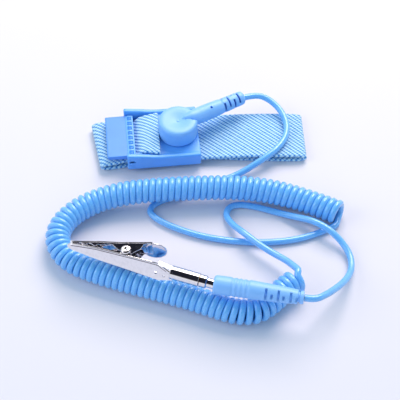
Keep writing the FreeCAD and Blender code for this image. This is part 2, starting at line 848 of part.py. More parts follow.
def make_plug():
    """The banana plug: moulded sleeve with slotted relief, metal neck, core pin and spring."""
    body = new_body("plug_sleeve")
    section = new_sketch(body, "XZ_Plane", "sleeve_section")
    thick, rib = size("sleeve_radius"), size("rib_high")
    end, relief = size("sleeve_long"), size("relief_start")
    outline = [(0, 0), (0, thick - 0.7), (0.7, thick)]
    for number in range(SIZES["grip_count"]):
        begin = 5.45 + size("grip_pitch") * number
        outline += [(begin, thick), (begin + 0.3, thick + rib), (begin + 0.8, thick + rib),
                    (begin + 1.1, thick)]
    outline += [
        (relief, thick - 0.15),
        (relief + 0.8, thick - 0.35),
        (end - 1.6, size("sleeve_tip_radius") - 0.1),
        (end - 1.5, size("sleeve_tip_radius") + 0.15),
        (end, size("sleeve_tip_radius") + 0.15),
        (end, 0),
    ]
    draw_outline(section, outline)
    revolve(body, section, "H_Axis")
    bore = new_sketch(body, "XZ_Plane", "sleeve_bore")
    draw_outline(bore, (
        (-1, 0),
        (-1, size("waist_radius") + 0.9),
        (size("neck_buried") + 4.6, size("waist_radius") + 0.9),
        (size("neck_buried") + 4.6, size("core_radius") + 0.05),
        (end + 1, size("core_radius") + 0.05),
        (end + 1, 0),
    ))
    revolve(body, bore, "H_Axis", cut=True)
    for name, role, first in (("side", "XY_Plane", 0.95), ("top", "XZ_Plane", 3.05)):
        slots = new_sketch(body, role, f"sleeve_slots_{name}")
        for sign in (-1, 1):
            for number in range(3):
                from_x = relief + first + size("slot_pitch") * (2 * number)
                depth = size("slot_deep") + 0.1
                skin = thick - 0.55 - 0.075 * (first + 4.4 * number)
                draw_outline(slots, (
                    (from_x, (skin - depth) * sign),
                    (from_x + size("slot_wide"), (skin - depth) * sign),
                    (from_x + size("slot_wide"), (thick + 1) * sign),
                    (from_x, (thick + 1) * sign),
                ))
        pocket(body, slots, size("sleeve_radius") * 1.1)
    place(body, PLUG_MOUTH[0], PLUG_MOUTH[1], size("plug_level"), angle=size("sleeve_yaw"))

    neck_radius, waist = size("neck_radius"), size("waist_radius")
    total = size("neck_long") + size("neck_buried")
    neck = turned_piece("plug_neck", (
        (0.15, 0),
        (0.15, neck_radius - 0.2),
        (0.35, neck_radius),
        (2.6, neck_radius),
        (3.0, waist),
        (total, waist),
        (total, 0),
    ), along_x=True)
    on_clip_axis(neck)
    core, long = size("pin_core_radius"), size("plug_pin_long")
    pin = turned_piece("plug_pin", (
        (-long, 0),
        (-long, core),
        (-long + 0.4, core + 0.3),
        (-long + 1.4, core + 0.3),
        (-long + 1.6, core - 0.1),
        (-0.4, core - 0.1),
        (-0.4, core + 0.3),
        (0.1, core + 0.3),
        (0.1, 0),
    ), along_x=True)
    on_clip_axis(pin)
    inner = core
    bulge = size("spring_radius")
    spring = turned_piece("plug_spring", (
        (-long + 1.75, inner + 0.05),
        (-long / 2 - 1.4, inner + 0.05),
        (-0.55, inner + 0.05),
        (-0.55, inner + 0.3),
        (-long / 2 + 1.6, bulge),
        (-long / 2 - 1.6, bulge),
        (-long + 1.75, inner + 0.3),
    ), along_x=True)
    on_clip_axis(spring)
    joint = turned_piece("plug_solder", ((0, 0), (0, 1.1), (2.6, 0.7), (2.6, 0)), True)
    angle = math.radians(SIZES["sleeve_yaw"])
    seat = size("neck_buried") + 1.4
    place(joint, PLUG_MOUTH[0] + seat * math.cos(angle), PLUG_MOUTH[1] + seat * math.sin(angle),
          size("plug_level"), angle=size("sleeve_yaw"))
    core_start = seat + 2.6
    run = size("sleeve_long") - core_start
    wire = size("core_radius")
    core_piece = turned_piece("plug_core", ((0, 0), (0, wire), (run, wire), (run, 0)), True)
    place(core_piece, PLUG_MOUTH[0] + core_start * math.cos(angle),
          PLUG_MOUTH[1] + core_start * math.sin(angle), size("plug_level"),
          angle=size("sleeve_yaw"))


def jaw_half(back):
    """Half width of the lower jaw's outside, at a distance back from the clip's mouth."""
    taper = (size("jaw_root_half") - size("jaw_tip_half")) / (size("clip_long") - 24.0)
    return size("jaw_tip_half") + (size("clip_long") - back) * taper


def trim_sides(body, name, stations, reach):
    """Cuts the body down to a tapered side view, given as (x, half width) stations."""
    for side, sign in (("over", 1), ("under", -1)):
        sketch = new_sketch(body, "XZ_Plane", f"{name}_{side}")
        edge = [(x, half * sign) for x, half in stations]
        far = reach * sign
        draw_outline(sketch, edge + [(stations[-1][0], far), (stations[0][0], far)])
        pocket(body, sketch, size("clip_long"))


def tooth_line(first_x, first_y, last_y, phase):
    """Saw teeth from first_x toward the tip, between two heights."""
    points = []
    count = SIZES["tooth_count"]
    for number in range(int(count)):
        share = number / count
        level = first_y + (last_y - first_y) * share
        x = first_x - size("tooth_pitch") * number
        points.append((x, level + phase))
        points.append((x - size("tooth_pitch") / 2, level + size("tooth_high") + phase))
    return points


def make_lower_jaw():
    """The lower jaw: a tapered channel with cheeks, teeth, a neck and the rolled mouth."""
    body = new_body("clip_lower_jaw")
    web, sheet = -size("web_offset"), size("clip_sheet")
    tip, rivet_x, rivet_y = -size("clip_long"), -size("rivet_back"), size("rivet_side")
    teeth_from = tip + 12.0
    outline = [
        (-size("mouth_long") - 3.6, web),
        (tip + 0.4, web),
        (tip, web + 0.4),
        (tip + 2.0, web + 0.55),
    ]
    outline += tooth_line(teeth_from, 0.3, -0.4, 0.0)[::-1]
    outline += [
        (teeth_from + 0.8, -0.35),
        (teeth_from + 4.0, -0.35),
        (teeth_from + 5.4, rivet_y),
        (rivet_x - 2.2, rivet_y + 1.6),
        (rivet_x - 1.0, rivet_y + 2.3),
        (rivet_x + 1.0, rivet_y + 2.3),
        (rivet_x + 2.4, rivet_y + 1.2),
        (rivet_x + 5.0, 0.7),
        (-size("mouth_long") - 3.6, 0.5),
    ]
    plan = new_sketch(body, "XY_Plane", "lower_plan")
    draw_outline(plan, outline)
    widest = size("jaw_root_half") * 2
    pad(body, plan, widest)
    root = -24.0
    stations = ((tip - 1, jaw_half(size("clip_long") + 1)), (root, size("jaw_root_half")))
    trim_sides(body, "lower_taper", stations, size("jaw_root_half") + 2)
    cavity = new_sketch(body, "XZ_Plane", "lower_cavity", -(web + sheet))
    draw_outline(cavity, (
        (tip - 1, -(jaw_half(size("clip_long") + 1) - sheet)),
        (root, -(size("jaw_root_half") - sheet)),
        (0, -(size("jaw_root_half") - sheet)),
        (0, size("jaw_root_half") - sheet),
        (root, size("jaw_root_half") - sheet),
        (tip - 1, jaw_half(size("clip_long") + 1) - sheet),
    ))
    pocket(body, cavity, 20, both_ways=False)
    neck = new_sketch(body, "XZ_Plane", "lower_neck")
    mouth = size("mouth_radius")
    back = -size("mouth_long")
    draw_outline(neck, (
        (back - 3.6, -size("jaw_root_half")),
        (back + 0.3, -mouth + 0.25),
        (back + 0.3, mouth - 0.25),
        (back - 3.6, size("jaw_root_half")),
    ))
    bind(neck, "AttachmentOffset.Base.z", -web - sheet)
    pad(body, neck, sheet, both_ways=False)
    roll = new_sketch(body, "YZ_Plane", "lower_mouth", back)
    draw_circle(roll, 0, 0, mouth)
    pad(body, roll, size("mouth_long"), both_ways=False)
    bore = new_sketch(body, "YZ_Plane", "lower_bore", back - 0.2)
    draw_circle(bore, 0, 0, size("spring_radius") + size("run_gap"))
    pocket(body, bore, size("mouth_long") + 0.4, both_ways=False, reverse=True)
    holes = new_sketch(body, "XY_Plane", "lower_rivet_holes")
    draw_circle(holes, rivet_x, rivet_y, size("rivet_radius") + 0.02)
    pocket(body, holes, widest + 1)
    peep = new_sketch(body, "XZ_Plane", "lower_peep_holes")
    draw_circle(peep, back - 6.4, 0.6, 0.6)
    pocket(body, peep, 10)
    on_clip_axis(body)


def make_upper_jaw():
    """The upper jaw: a narrower channel on the same rivet, with teeth and a thumb pad.
    Its own X axis runs along its web, from the rivet to the thumb pad."""
    body = new_body("clip_upper_jaw")
    sheet, web = size("clip_sheet"), size("upper_web")
    gap = size("jaw_gap")
    tip = -(size("clip_long") - size("rivet_back")) * 0.995
    teeth_from = tip + 12.0
    plan = new_sketch(body, "XY_Plane", "upper_plan")
    outline = [
        (6.2, web),
        (tip + 0.5, web),
        (tip, web - 0.4),
    ]
    last = int(SIZES["tooth_count"]) - 1
    for number in range(last + 1):
        x = teeth_from - 1.12 - size("tooth_pitch") * (last - number)
        level = web - 0.76 - 1.15 * number / last
        outline.append((x, level + size("tooth_high")))
        outline.append((x + size("tooth_pitch") / 2, level))
    outline += [
        (teeth_from + 0.8, web - 1.5),
        (teeth_from + 4.6, web - 1.5),
        (teeth_from + 6.2, -0.6),
        (-1.6, -1.6),
        (0.0, -2.1),
        (1.5, -1.7),
        (5.0, web - 1.4),
        (6.2, web - sheet),
    ]
    draw_outline(plan, outline)
    root_half = jaw_half(size("rivet_back")) - sheet - gap
    slimmer = jaw_half(size("rivet_back") + 8.0) - sheet - gap
    tip_half = size("jaw_tip_half")
    pad(body, plan, jaw_half(24.0) * 2)
    stations = (
        (tip - 1, tip_half - 0.05),
        (teeth_from - 0.5, slimmer + 0.4),
        (teeth_from + 1.0, slimmer),
        (0, root_half),
        (7, root_half),
    )
    trim_sides(body, "upper_taper", stations, size("jaw_root_half") + 2)
    cavity = new_sketch(body, "XZ_Plane", "upper_cavity", -(web - sheet))
    inset = [(x, half - sheet) for x, half in stations]
    inset = [(tip - 2, tip_half - 0.05 - sheet)] + inset[1:-1] + [(9, root_half - sheet)]
    draw_outline(cavity, [(x, -half) for x, half in inset] + [(x, half) for x, half in inset[::-1]])
    pocket(body, cavity, 20, both_ways=False, reverse=True)
    thumb = new_sketch(body, "XZ_Plane", "upper_thumb", -web)
    draw_circle(thumb, size("pad_back"), 0, size("pad_radius"))
    pad(body, thumb, sheet, both_ways=False, reverse=False)
    stem = new_sketch(body, "XZ_Plane", "upper_stem", -web)
    draw_outline(stem, ((5.5, -1.9), (size("pad_back"), -1.9), (size("pad_back"), 1.9), (5.5, 1.9)))
    pad(body, stem, sheet, both_ways=False, reverse=False)
    holes = new_sketch(body, "XY_Plane", "upper_rivet_holes")
    draw_circle(holes, 0, 0, size("rivet_radius") + size("run_gap"))
    pocket(body, holes, size("jaw_root_half") * 2 + 1)
    place_at_rivet(body, size("clip_yaw") + size("upper_tilt"))


def place_at_rivet(piece, angle):
    turn = math.radians(SIZES["clip_yaw"])
    along = -size("neck_long") - size("rivet_back")
    side = size("rivet_side")
    x = PLUG_MOUTH[0] + along * math.cos(turn) - side * math.sin(turn)
    y = PLUG_MOUTH[1] + along * math.sin(turn) + side * math.cos(turn)
    place(piece, x, y, size("plug_level"), angle=angle)


def make_rivet():
    outside = jaw_half(size("rivet_back"))
    head, shank = size("rivet_head_radius"), size("rivet_radius")
    rivet = turned_piece("clip_rivet", (
        (0, -outside - 0.55),
        (head - 0.5, -outside - 0.55),
        (head, -outside - 0.18),
        (shank, -outside - 0.18),
        (shank, outside + 0.18),
        (head, outside + 0.18),
        (head - 0.5, outside + 0.65),
        (0.4, outside + 0.65),
        (0, outside + 0.35),
    ), along_x=False)
    place_at_rivet(rivet, size("clip_yaw"))


def make_clip_spring():
    """The torsion spring: its coil on the rivet, one leg on the lower jaw's web."""
    body = new_body("clip_spring")
    half = (jaw_half(size("rivet_back")) - size("clip_sheet") * 2 - size("jaw_gap") - 0.25)
    ring = new_sketch(body, "XY_Plane", "spring_coil")
    draw_circle(ring, 0, 0, size("coil_spring_radius"))
    pad(body, ring, half * 2)
    hole = new_sketch(body, "XY_Plane", "spring_hole")
    draw_circle(hole, 0, 0, size("rivet_radius") + 0.15)
    pocket(body, hole, half * 2 + 1)
    leg = new_sketch(body, "XY_Plane", "spring_leg")
    web = -size("web_offset") - size("rivet_side") + size("clip_sheet")
    draw_outline(leg, (
        (0.0, -size("coil_spring_radius") + 0.5),
        (0.0, -size("coil_spring_radius")),
        (6.5, web + 0.05),
        (6.5, web + 0.55),
    ))
    pad(body, leg, 0.6)
    place_at_rivet(body, size("clip_yaw"))


def make_cord():
    """The one cord: a lead, the curly part as a plain fat tube, and a second lead."""
    feature_piece("snap_lead", tube_along("snap_lead", SNAP_LEAD_ROUTE, SIZES["cord_radius"]))
    feature_piece("curly_cord", tube_along("curly_cord", COIL_ROUTE, SIZES["coil_radius"]))
    feature_piece("plug_lead", tube_along("plug_lead", PLUG_LEAD_ROUTE, SIZES["cord_radius"]))


def check_and_write():
    """Stops on any failed object or bad solid, then writes one STEP file per node."""
    DOC.recompute()
    for thing in DOC.Objects:
        if "Invalid" in thing.State or "Error" in thing.State:
            raise RuntimeError(f"{thing.Label}: {thing.State}")
    os.makedirs("parts", exist_ok=True)
    for node in NODES:
        shape = node.Shape
        if shape.isNull() or not shape.isValid():
            raise RuntimeError(f"{node.Label}: bad shape")
        if len(shape.Solids) != 1:
            raise RuntimeError(f"{node.Label}: {len(shape.Solids)} solids")
        box = shape.BoundBox
        print(f"{node.Label:18s} {shape.Volume:9.1f} mm3  x {box.XMin:6.1f} {box.XMax:6.1f}"
              f"  y {box.YMin:6.1f} {box.YMax:6.1f}  z {box.ZMin:5.1f} {box.ZMax:5.1f}")
        shape.exportStep(f"parts/{node.Label}.step")


make_strap()
make_frame()
make_lever()
make_lever_pin()
make_skin_plate()
make_stud()
make_anchor()
make_snap_housing()
make_snap_inside()
make_plug()
make_lower_jaw()
make_upper_jaw()
make_rivet()
make_clip_spring()
make_cord()
check_and_write()
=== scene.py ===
# %% [markdown]
# # An ESD wrist strap: band, curly cord, banana plug and alligator clip
# The strap keeps a person who handles electronics at earth's potential. Every part that turns,
# slides or fastens already exists as a plain solid. This lesson dresses those solids: the
# woven band, the coiled cord, the soft-edged mouldings and the bright stamped clip.

import math

import bmesh
import bpy
from mathutils import Matrix, Vector, noise


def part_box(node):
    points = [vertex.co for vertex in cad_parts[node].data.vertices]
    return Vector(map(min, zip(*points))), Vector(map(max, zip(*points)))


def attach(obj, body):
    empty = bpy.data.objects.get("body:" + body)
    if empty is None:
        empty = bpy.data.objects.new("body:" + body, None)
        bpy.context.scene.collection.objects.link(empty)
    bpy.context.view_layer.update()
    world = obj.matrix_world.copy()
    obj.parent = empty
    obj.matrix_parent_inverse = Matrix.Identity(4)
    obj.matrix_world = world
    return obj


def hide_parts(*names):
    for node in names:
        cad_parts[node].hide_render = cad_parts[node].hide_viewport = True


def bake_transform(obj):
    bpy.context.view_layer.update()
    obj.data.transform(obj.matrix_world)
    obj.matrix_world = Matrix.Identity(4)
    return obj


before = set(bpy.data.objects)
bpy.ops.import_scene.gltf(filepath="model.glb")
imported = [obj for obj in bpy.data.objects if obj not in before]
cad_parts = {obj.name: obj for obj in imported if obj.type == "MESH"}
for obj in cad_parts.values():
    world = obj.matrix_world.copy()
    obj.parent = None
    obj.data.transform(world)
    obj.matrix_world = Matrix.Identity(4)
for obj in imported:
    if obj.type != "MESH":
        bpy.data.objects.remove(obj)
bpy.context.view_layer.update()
MM = 0.001

# %% [markdown]
# ## Helpers for meshes
# Lengths are written in millimetres and turned into metres at once, so a point reads like one
# on a drawing. A finished mesh becomes an object at the origin that rides on one body.

# %% Mesh helpers
def mm(x, y, z=0.0):
    """A point given in millimetres."""
    return Vector((x, y, z)) * MM


def show(name, mesh, finish, body, stands_for=()):
    """Links a mesh as a finished piece that rides on a body and stands for its plain solids."""
    piece = bpy.data.objects.new(name, mesh)
    bpy.context.scene.collection.objects.link(piece)
    piece.data.materials.clear()
    piece.data.materials.append(finish)
    for polygon in piece.data.polygons:
        polygon.use_smooth = True
    if body:
        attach(piece, body)
    if stands_for:
        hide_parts(*stands_for)
    print(f"{name}: {len(piece.data.polygons)} faces")
    return piece


def mesh_of(bm, name):
    """Turns a bmesh into mesh data with its faces pointing outwards."""
    bmesh.ops.recalc_face_normals(bm, faces=bm.faces)
    mesh = bpy.data.meshes.new(name)
    bm.to_mesh(mesh)
    bm.free()
    return mesh


def baked(mesh, *modifiers):
    """The mesh after a stack of modifiers, each given as its type and its settings."""
    holder = bpy.data.objects.new("holder", mesh)
    bpy.context.scene.collection.objects.link(holder)
    for kind, settings in modifiers:
        modifier = holder.modifiers.new(kind.title(), kind)
        for key, value in settings.items():
            setattr(modifier, key, value)
    bpy.context.view_layer.update()
    graph = bpy.context.evaluated_depsgraph_get()
    result = bpy.data.meshes.new_from_object(holder.evaluated_get(graph))
    bpy.data.objects.remove(holder)
    return result


# %% [markdown]
# ## Helpers for finishes
# A finish is a Principled shader with a few procedural nodes in front of it. Sums on shader
# values are easier to read as Python than as wires, so a small class wraps a socket and adds
# the Math nodes that an expression asks for.

# %% Finish helpers
class Value:
    """A number that varies over a surface: the output socket of some node."""

    def __init__(self, finish, socket):
        self.finish = finish
        self.socket = socket

    def sum_with(self, operation, first, second):
        return self.finish.node("ShaderNodeMath", {"operation": operation}, {0: first, 1: second})

    def __add__(self, other):
        return self.sum_with("ADD", self, other)

    def __sub__(self, other):
        return self.sum_with("SUBTRACT", self, other)

    def __mul__(self, other):
        return self.sum_with("MULTIPLY", self, other)

    def __truediv__(self, other):
        return self.sum_with("DIVIDE", self, other)

    def __pow__(self, other):
        return self.sum_with("POWER", self, other)

    def __rsub__(self, other):
        return self.sum_with("SUBTRACT", other, self)

    def wave(self):
        """The sine of the value, without its sign: round backs with sharp gaps between."""
        return self.sum_with("ABSOLUTE", self.sum_with("SINE", self, 0.0), 0.0)

    __radd__ = __add__
    __rmul__ = __mul__


class Finish:
    """A material with a Principled shader, and one short way to put nodes in front of it."""

    def __init__(self, name, colour, roughness, **constants):
        self.material = bpy.data.materials.new(name)
        self.material.use_nodes = True
        self.tree = self.material.node_tree
        self.shader = self.tree.nodes["Principled BSDF"]
        self.set("Base Color", (*colour, 1.0))
        self.set("Roughness", roughness)
        for socket, value in constants.items():
            self.set(socket.replace("_", " "), value)

    def set(self, socket, value):
        """Feeds one of the shader's own sockets, with a constant or with a value."""
        self.feed(self.shader.inputs[socket], value)

    def feed(self, socket, value):
        if isinstance(value, Value):
            self.tree.links.new(value.socket, socket)
        else:
            socket.default_value = value

    def node(self, kind, settings=None, inputs=None, output=0):
        """Adds a node: its settings first, then the constants or values of its inputs."""
        made = self.tree.nodes.new(kind)
        for key, value in (settings or {}).items():
            setattr(made, key, value)
        for key, value in (inputs or {}).items():
            self.feed(made.inputs[key], value)
        return Value(self, made.outputs[output])

    def noise(self, scale, detail=2.0, where=None, stretch=None):
        """Soft noise over the piece; scale is in lumps per metre."""
        where = where or self.node("ShaderNodeTexCoord", output="Object")
        if stretch:
            where = self.node("ShaderNodeMapping", None, {"Vector": where, "Scale": stretch})
        return self.node("ShaderNodeTexNoise", None, {
            "Vector": where, "Scale": scale, "Detail": detail, "Roughness": 0.5})

    def blend(self, share, first, second):
        """Mixes two colours by a share."""
        colours = [item if isinstance(item, Value) else (*item, 1.0) for item in (first, second)]
        return self.node("ShaderNodeMix", {"data_type": "RGBA"},
                         {0: share, 6: colours[0], 7: colours[1]}, output=2)

    def span(self, value, low, high, to_low=0.0, to_high=1.0):
        """Stretches a value's range from low..high to to_low..to_high, and clamps it."""
        return self.node("ShaderNodeMapRange", {"clamp": True}, {
            "Value": value, "From Min": low, "From Max": high, "To Min": to_low, "To Max": to_high})

    def slot_shade_share(self, frame_at, low, high, radius):
        """1 deep inside a barrel between two places along it, given in millimetres, and 0 at its skin: the share of
        painted shade in its slots.
        """
        where = self.node("ShaderNodeTexCoord", output="Object")
        ahead = frame_at.to_3x3() @ Vector((1, 0, 0))
        reach = self.node("ShaderNodeVectorMath", {"operation": "SUBTRACT"}, {0: where, 1: frame_at.translation})
        aside = self.node("ShaderNodeVectorMath", {"operation": "CROSS_PRODUCT"}, {0: reach, 1: ahead})
        away = self.node("ShaderNodeVectorMath", {"operation": "LENGTH"}, {0: aside}, output=1)
        along = self.node("ShaderNodeVectorMath", {"operation": "DOT_PRODUCT"}, {0: reach, 1: ahead}, output=1)
        inside = self.span(away, (radius - 0.3) * MM, radius * MM, 1.0, 0.0)
        return (inside * self.span(along, low * MM, (low + 0.1) * MM)
                * self.span(along, (high - 0.1) * MM, high * MM, 1.0, 0.0))

    def bump(self, height, distance, strength=1.0):
        """Tilts the shading by a height in units of distance."""
        self.set("Normal", self.node("ShaderNodeBump", None, {
            "Height": height, "Distance": distance, "Strength": strength}))


# Painted shade for the inside of a barrel's slots.
SLOT_SHADE = (0.02, 0.13, 0.60)


def soft_plastic(name, colour, deep, roughness=0.38, grain=5200.0, slots=None):
    """Moulded plastic: faint colour drift, a fine spark-eroded grain, a satin shine and, where slots are given, painted
    shade deep in them.
    """
    finish = Finish(name, colour, roughness, Specular_IOR_Level=0.7)
    drift = finish.noise(140.0, 3.0)
    tint = finish.blend(finish.span(drift, 0.35, 0.7), colour, deep)
    # Deep in the given slots the colour turns to painted shade.
    if slots:
        tint = finish.blend(finish.slot_shade_share(*slots), tint, SLOT_SHADE)
    finish.set("Base Color", tint)
    fine = finish.noise(grain, 3.0)
    finish.set("Roughness", finish.span(fine, 0.3, 0.75, roughness - 0.06, roughness + 0.10))
    finish.bump(fine, 0.00002, 0.6)
    return finish.material


def bright_metal(name, colour, roughness, brush=(1.0, 1.0, 1.0), depth=0.000004):
    """Plated or polished metal: smooth, with faint waves and a few rubbed patches."""
    finish = Finish(name, colour, roughness, Metallic=1.0)
    rub = finish.noise(900.0, 4.0, stretch=brush)
    finish.set("Roughness", finish.span(rub, 0.4, 0.75, roughness, roughness + 0.12))
    finish.set("Base Color", finish.blend(finish.span(rub, 0.45, 0.8), colour,
                                          tuple(channel * 0.88 for channel in colour)))
    wave = finish.noise(260.0, 1.0, stretch=brush)
    finish.bump(wave, depth * 10, 0.35)
    return finish.material


MOULDED = soft_plastic("moulded_plastic", (0.25, 0.525, 0.98), (0.22, 0.495, 0.96), 0.40)
BUCKLE = soft_plastic("buckle_plastic", (0.125, 0.42, 0.96), (0.115, 0.40, 0.94), 0.38)
LEVER = soft_plastic("lever_plastic", (0.085, 0.31, 0.87), (0.078, 0.29, 0.85), 0.40)
SLEEVE = soft_plastic("sleeve_plastic", (0.27, 0.54, 0.98), (0.25, 0.52, 0.97), 0.42)
# Painted light: the ladder's bars get a lighter copy of the lever's plastic.
LIT_LADDER = soft_plastic("ladder_painted_light", (0.15, 0.45, 0.93), (0.14, 0.43, 0.92), 0.42)
NICKEL = bright_metal("clip_nickel", (0.80, 0.79, 0.82), 0.06)
print("finishes:", [m.name for m in bpy.data.materials])

# %% [markdown]
# ## Camera
# The strap lies on a table and is seen from the front and well above, with a long lens, so the
# far band and the near clip keep nearly the same scale.

# %% Camera
eye = mm(-20.35, -286.3, 343.4)
aim = mm(5.8, -28.84, 0.0)
camera = bpy.data.objects.new("camera", bpy.data.cameras.new("camera"))
camera.data.lens = 99.8
camera.data.sensor_width = 36.0
camera.data.clip_start = 0.01
camera.location = eye
camera.rotation_euler = (aim - eye).to_track_quat("-Z", "Y").to_euler()
bpy.context.scene.collection.objects.link(camera)
bpy.context.scene.camera = camera
bpy.context.scene.view_settings.view_transform = "Standard"
print("camera distance:", round((aim - eye).length, 4), "m")

# %% [markdown]
# ## Floor, sky and lamps
# A pale table, a large soft lamp behind on the right that throws the soft shadows forward, and
# a broad fill from above. The sky is white to the eye; what bright metal mirrors is white behind
# the table and dark overhead and in front, as in a studio with one bright wall.

# %% Floor
bm = bmesh.new()
bmesh.ops.create_circle(bm, cap_ends=True, radius=2.5, segments=96)
floor_finish = Finish("table", (0.83, 0.755, 0.80), 0.9, Specular_IOR_Level=0.0)
floor = show("table", mesh_of(bm, "table"), floor_finish.material, None)

# %% Sky
world = bpy.data.worlds.new("studio")
bpy.context.scene.world = world
world.use_nodes = True
tree = world.node_tree
tree.nodes.clear()
links = tree.links.new
path = tree.nodes.new("ShaderNodeLightPath")
direction = tree.nodes.new("ShaderNodeTexCoord")
parts = tree.nodes.new("ShaderNodeSeparateXYZ")
links(direction.outputs["Generated"], parts.inputs[0])


def edge_at(socket, low, high):
    """A share that climbs from 0 to 1 while a direction's part climbs from low to high."""
    edge = tree.nodes.new("ShaderNodeMapRange")
    links(socket, edge.inputs["Value"])
    edge.inputs["From Min"].default_value = low
    edge.inputs["From Max"].default_value = high
    return edge.outputs[0]


high_up = edge_at(parts.outputs["Z"], 0.30, 0.46)
in_front = edge_at(parts.outputs["Y"], 0.45, 0.30)
ceiling = tree.nodes.new("ShaderNodeMath")
ceiling.operation = "MULTIPLY"
links(high_up, ceiling.inputs[0])
links(in_front, ceiling.inputs[1])
fill = tree.nodes.new("ShaderNodeBackground")
fill.inputs["Color"].default_value = (0.50, 0.78, 1.0, 1.0)
fill.inputs["Strength"].default_value = 0.64
tone = tree.nodes.new("ShaderNodeMix")
tone.data_type = "RGBA"
tone.inputs[6].default_value = (0.95, 0.95, 1.0, 1.0)
tone.inputs[7].default_value = (0.015, 0.015, 0.025, 1.0)
links(ceiling.outputs[0], tone.inputs[0])
mirrored = tree.nodes.new("ShaderNodeBackground")
links(tone.outputs[2], mirrored.inputs["Color"])
seen = tree.nodes.new("ShaderNodeBackground")
seen.inputs["Color"].default_value = (0.96, 0.96, 1.0, 1.0)
glossy_mix = tree.nodes.new("ShaderNodeMixShader")
links(path.outputs["Is Glossy Ray"], glossy_mix.inputs[0])
links(fill.outputs[0], glossy_mix.inputs[1])
links(mirrored.outputs[0], glossy_mix.inputs[2])
camera_mix = tree.nodes.new("ShaderNodeMixShader")
straight = tree.nodes.new("ShaderNodeMath")
straight.operation = "MAXIMUM"
links(path.outputs["Is Camera Ray"], straight.inputs[0])
links(path.outputs["Is Transmission Ray"], straight.inputs[1])
links(straight.outputs[0], camera_mix.inputs[0])
links(glossy_mix.outputs[0], camera_mix.inputs[1])
links(seen.outputs[0], camera_mix.inputs[2])
output = tree.nodes.new("ShaderNodeOutputWorld")
links(camera_mix.outputs[0], output.inputs["Surface"])
print("sky nodes:", len(tree.nodes))

# %% Lamps
CENTRE = mm(0.0, -35.0, 0.0)


def lamp(name, azimuth, elevation, distance, width, power, colour):
    """A square soft lamp at an azimuth from +Y towards +X, aimed at the middle of the strap."""
    turn, rise = math.radians(azimuth), math.radians(elevation)
    towards = Vector((math.sin(turn) * math.cos(rise), math.cos(turn) * math.cos(rise), math.sin(rise)))
    light = bpy.data.lights.new(name, "AREA")
    light.size = width
    light.energy = power
    light.color = colour
    holder = bpy.data.objects.new(name, light)
    holder.location = CENTRE + towards * distance
    holder.rotation_euler = towards.to_track_quat("Z", "Y").to_euler()
    bpy.context.scene.collection.objects.link(holder)
    return holder


lamp("key", 26.0, 49.0, 0.8, 0.55, 6.2, (1.0, 0.905, 0.83))
lamp("left", -92.0, 36.0, 0.8, 0.5, 1.7, (0.95, 0.97, 1.0))
front = lamp("front", 184.0, 17.0, 0.8, 0.5, 0.7, (0.72, 0.88, 1.0))
front.visible_glossy = False

# %% [markdown]
# ## The cord
# One cord runs from the snap head to the plug: a lead, some ninety turns of curly cord and a
# second lead. Each lead's route and the curly part's axis are a few given points, and a
# NURBS spline rounds them. The turns are a helix worked out round that axis, wound left-handed
# and close enough to touch. One round tube then follows the whole line.

# %% Cord routes
SNAP_LEAD_ROUTE = (
    (27.0, 12.6, 10.75), (33.3, 14.9, 9.9), (38.7, 12.9, 8.1), (42.9, 7.4, 6.5),
    (44.1, 0.2, 5.8), (41.9, -6.8, 5.7), (36.6, -12.4, 5.6), (30.2, -15.9, 4.4),
    (23.6, -18.5, 2.0), (15.5, -21.2, 1.3), (4.0, -24.6, 1.3), (-7.0, -27.9, 1.3),
    (-12.6, -30.2, 1.3), (-14.3, -33.5, 1.3), (-11.7, -37.3, 1.3), (-5.0, -42.2, 1.3),
    (4.6, -47.0, 1.3), (15.4, -50.3, 1.3), (27.0, -52.2, 1.3), (38.6, -52.3, 1.3),
    (48.4, -50.2, 1.3), (54.4, -47.6, 1.3),
)
COIL_ROUTE = (
    (57.2, -43.8, 4.85), (50.3, -39.5, 4.85), (41.2, -34.9, 5.3), (30.6, -31.3, 6.2),
    (19.0, -29.5, 7.2), (6.0, -28.8, 7.6), (-6.0, -28.3, 7.7), (-17.0, -28.0, 7.5),
    (-28.0, -28.3, 6.5), (-37.5, -30.6, 5.3), (-45.0, -35.4, 4.85), (-49.4, -42.4, 4.85),
    (-48.6, -50.0, 4.85), (-43.6, -56.4, 4.85), (-35.0, -61.2, 4.85), (-24.4, -66.2, 4.85),
    (-13.6, -70.7, 4.85), (-3.2, -75.2, 4.85), (6.0, -79.9, 4.85), (13.6, -83.6, 4.85),
    (20.8, -83.9, 4.85), (26.6, -80.0, 4.85), (31.4, -75.6, 4.85), (36.6, -72.4, 4.85),
)
PLUG_LEAD_ROUTE = (
    (37.0, -69.6, 8.3), (34.6, -64.6, 6.2), (29.9, -60.0, 5.1), (24.9, -55.2, 5.1),
    (19.9, -49.3, 5.1), (16.6, -43.6, 2.6), (14.6, -38.2, 1.3), (16.4, -34.2, 1.3),
    (21.0, -33.3, 1.3), (28.0, -35.7, 1.3), (35.6, -39.4, 1.5), (42.4, -43.6, 3.4),
    (47.2, -46.9, 5.1), (52.2, -51.2, 5.1), (56.4, -55.8, 3.0), (58.8, -61.6, 1.7),
    (58.0, -68.0, 2.4), (54.4, -74.2, 5.2), (49.4, -79.6, 8.8), (44.2, -84.2, 12.2),
    (40.1, -86.37, 13.6), (36.67, -85.39, 13.8),
)
CORD_WIDE = 2.5
COIL_WIDE = 9.6
COIL_PITCH = 2.46
TURN_POINTS = 22


def spline_points(route, resolution):
    """Points along the NURBS spline that a route controls, in metres."""
    curve = bpy.data.curves.new("route", "CURVE")
    curve.dimensions = "3D"
    curve.resolution_u = resolution
    spline = curve.splines.new("NURBS")
    spline.points.add(len(route) - 1)
    for point, spot in zip(spline.points, route):
        point.co = (*mm(*spot), 1.0)
    spline.order_u = 3
    spline.use_endpoint_u = True
    holder = bpy.data.objects.new("route", curve)
    mesh = bpy.data.meshes.new_from_object(holder)
    points = [vertex.co.copy() for vertex in mesh.vertices]
    bpy.data.objects.remove(holder)
    return points


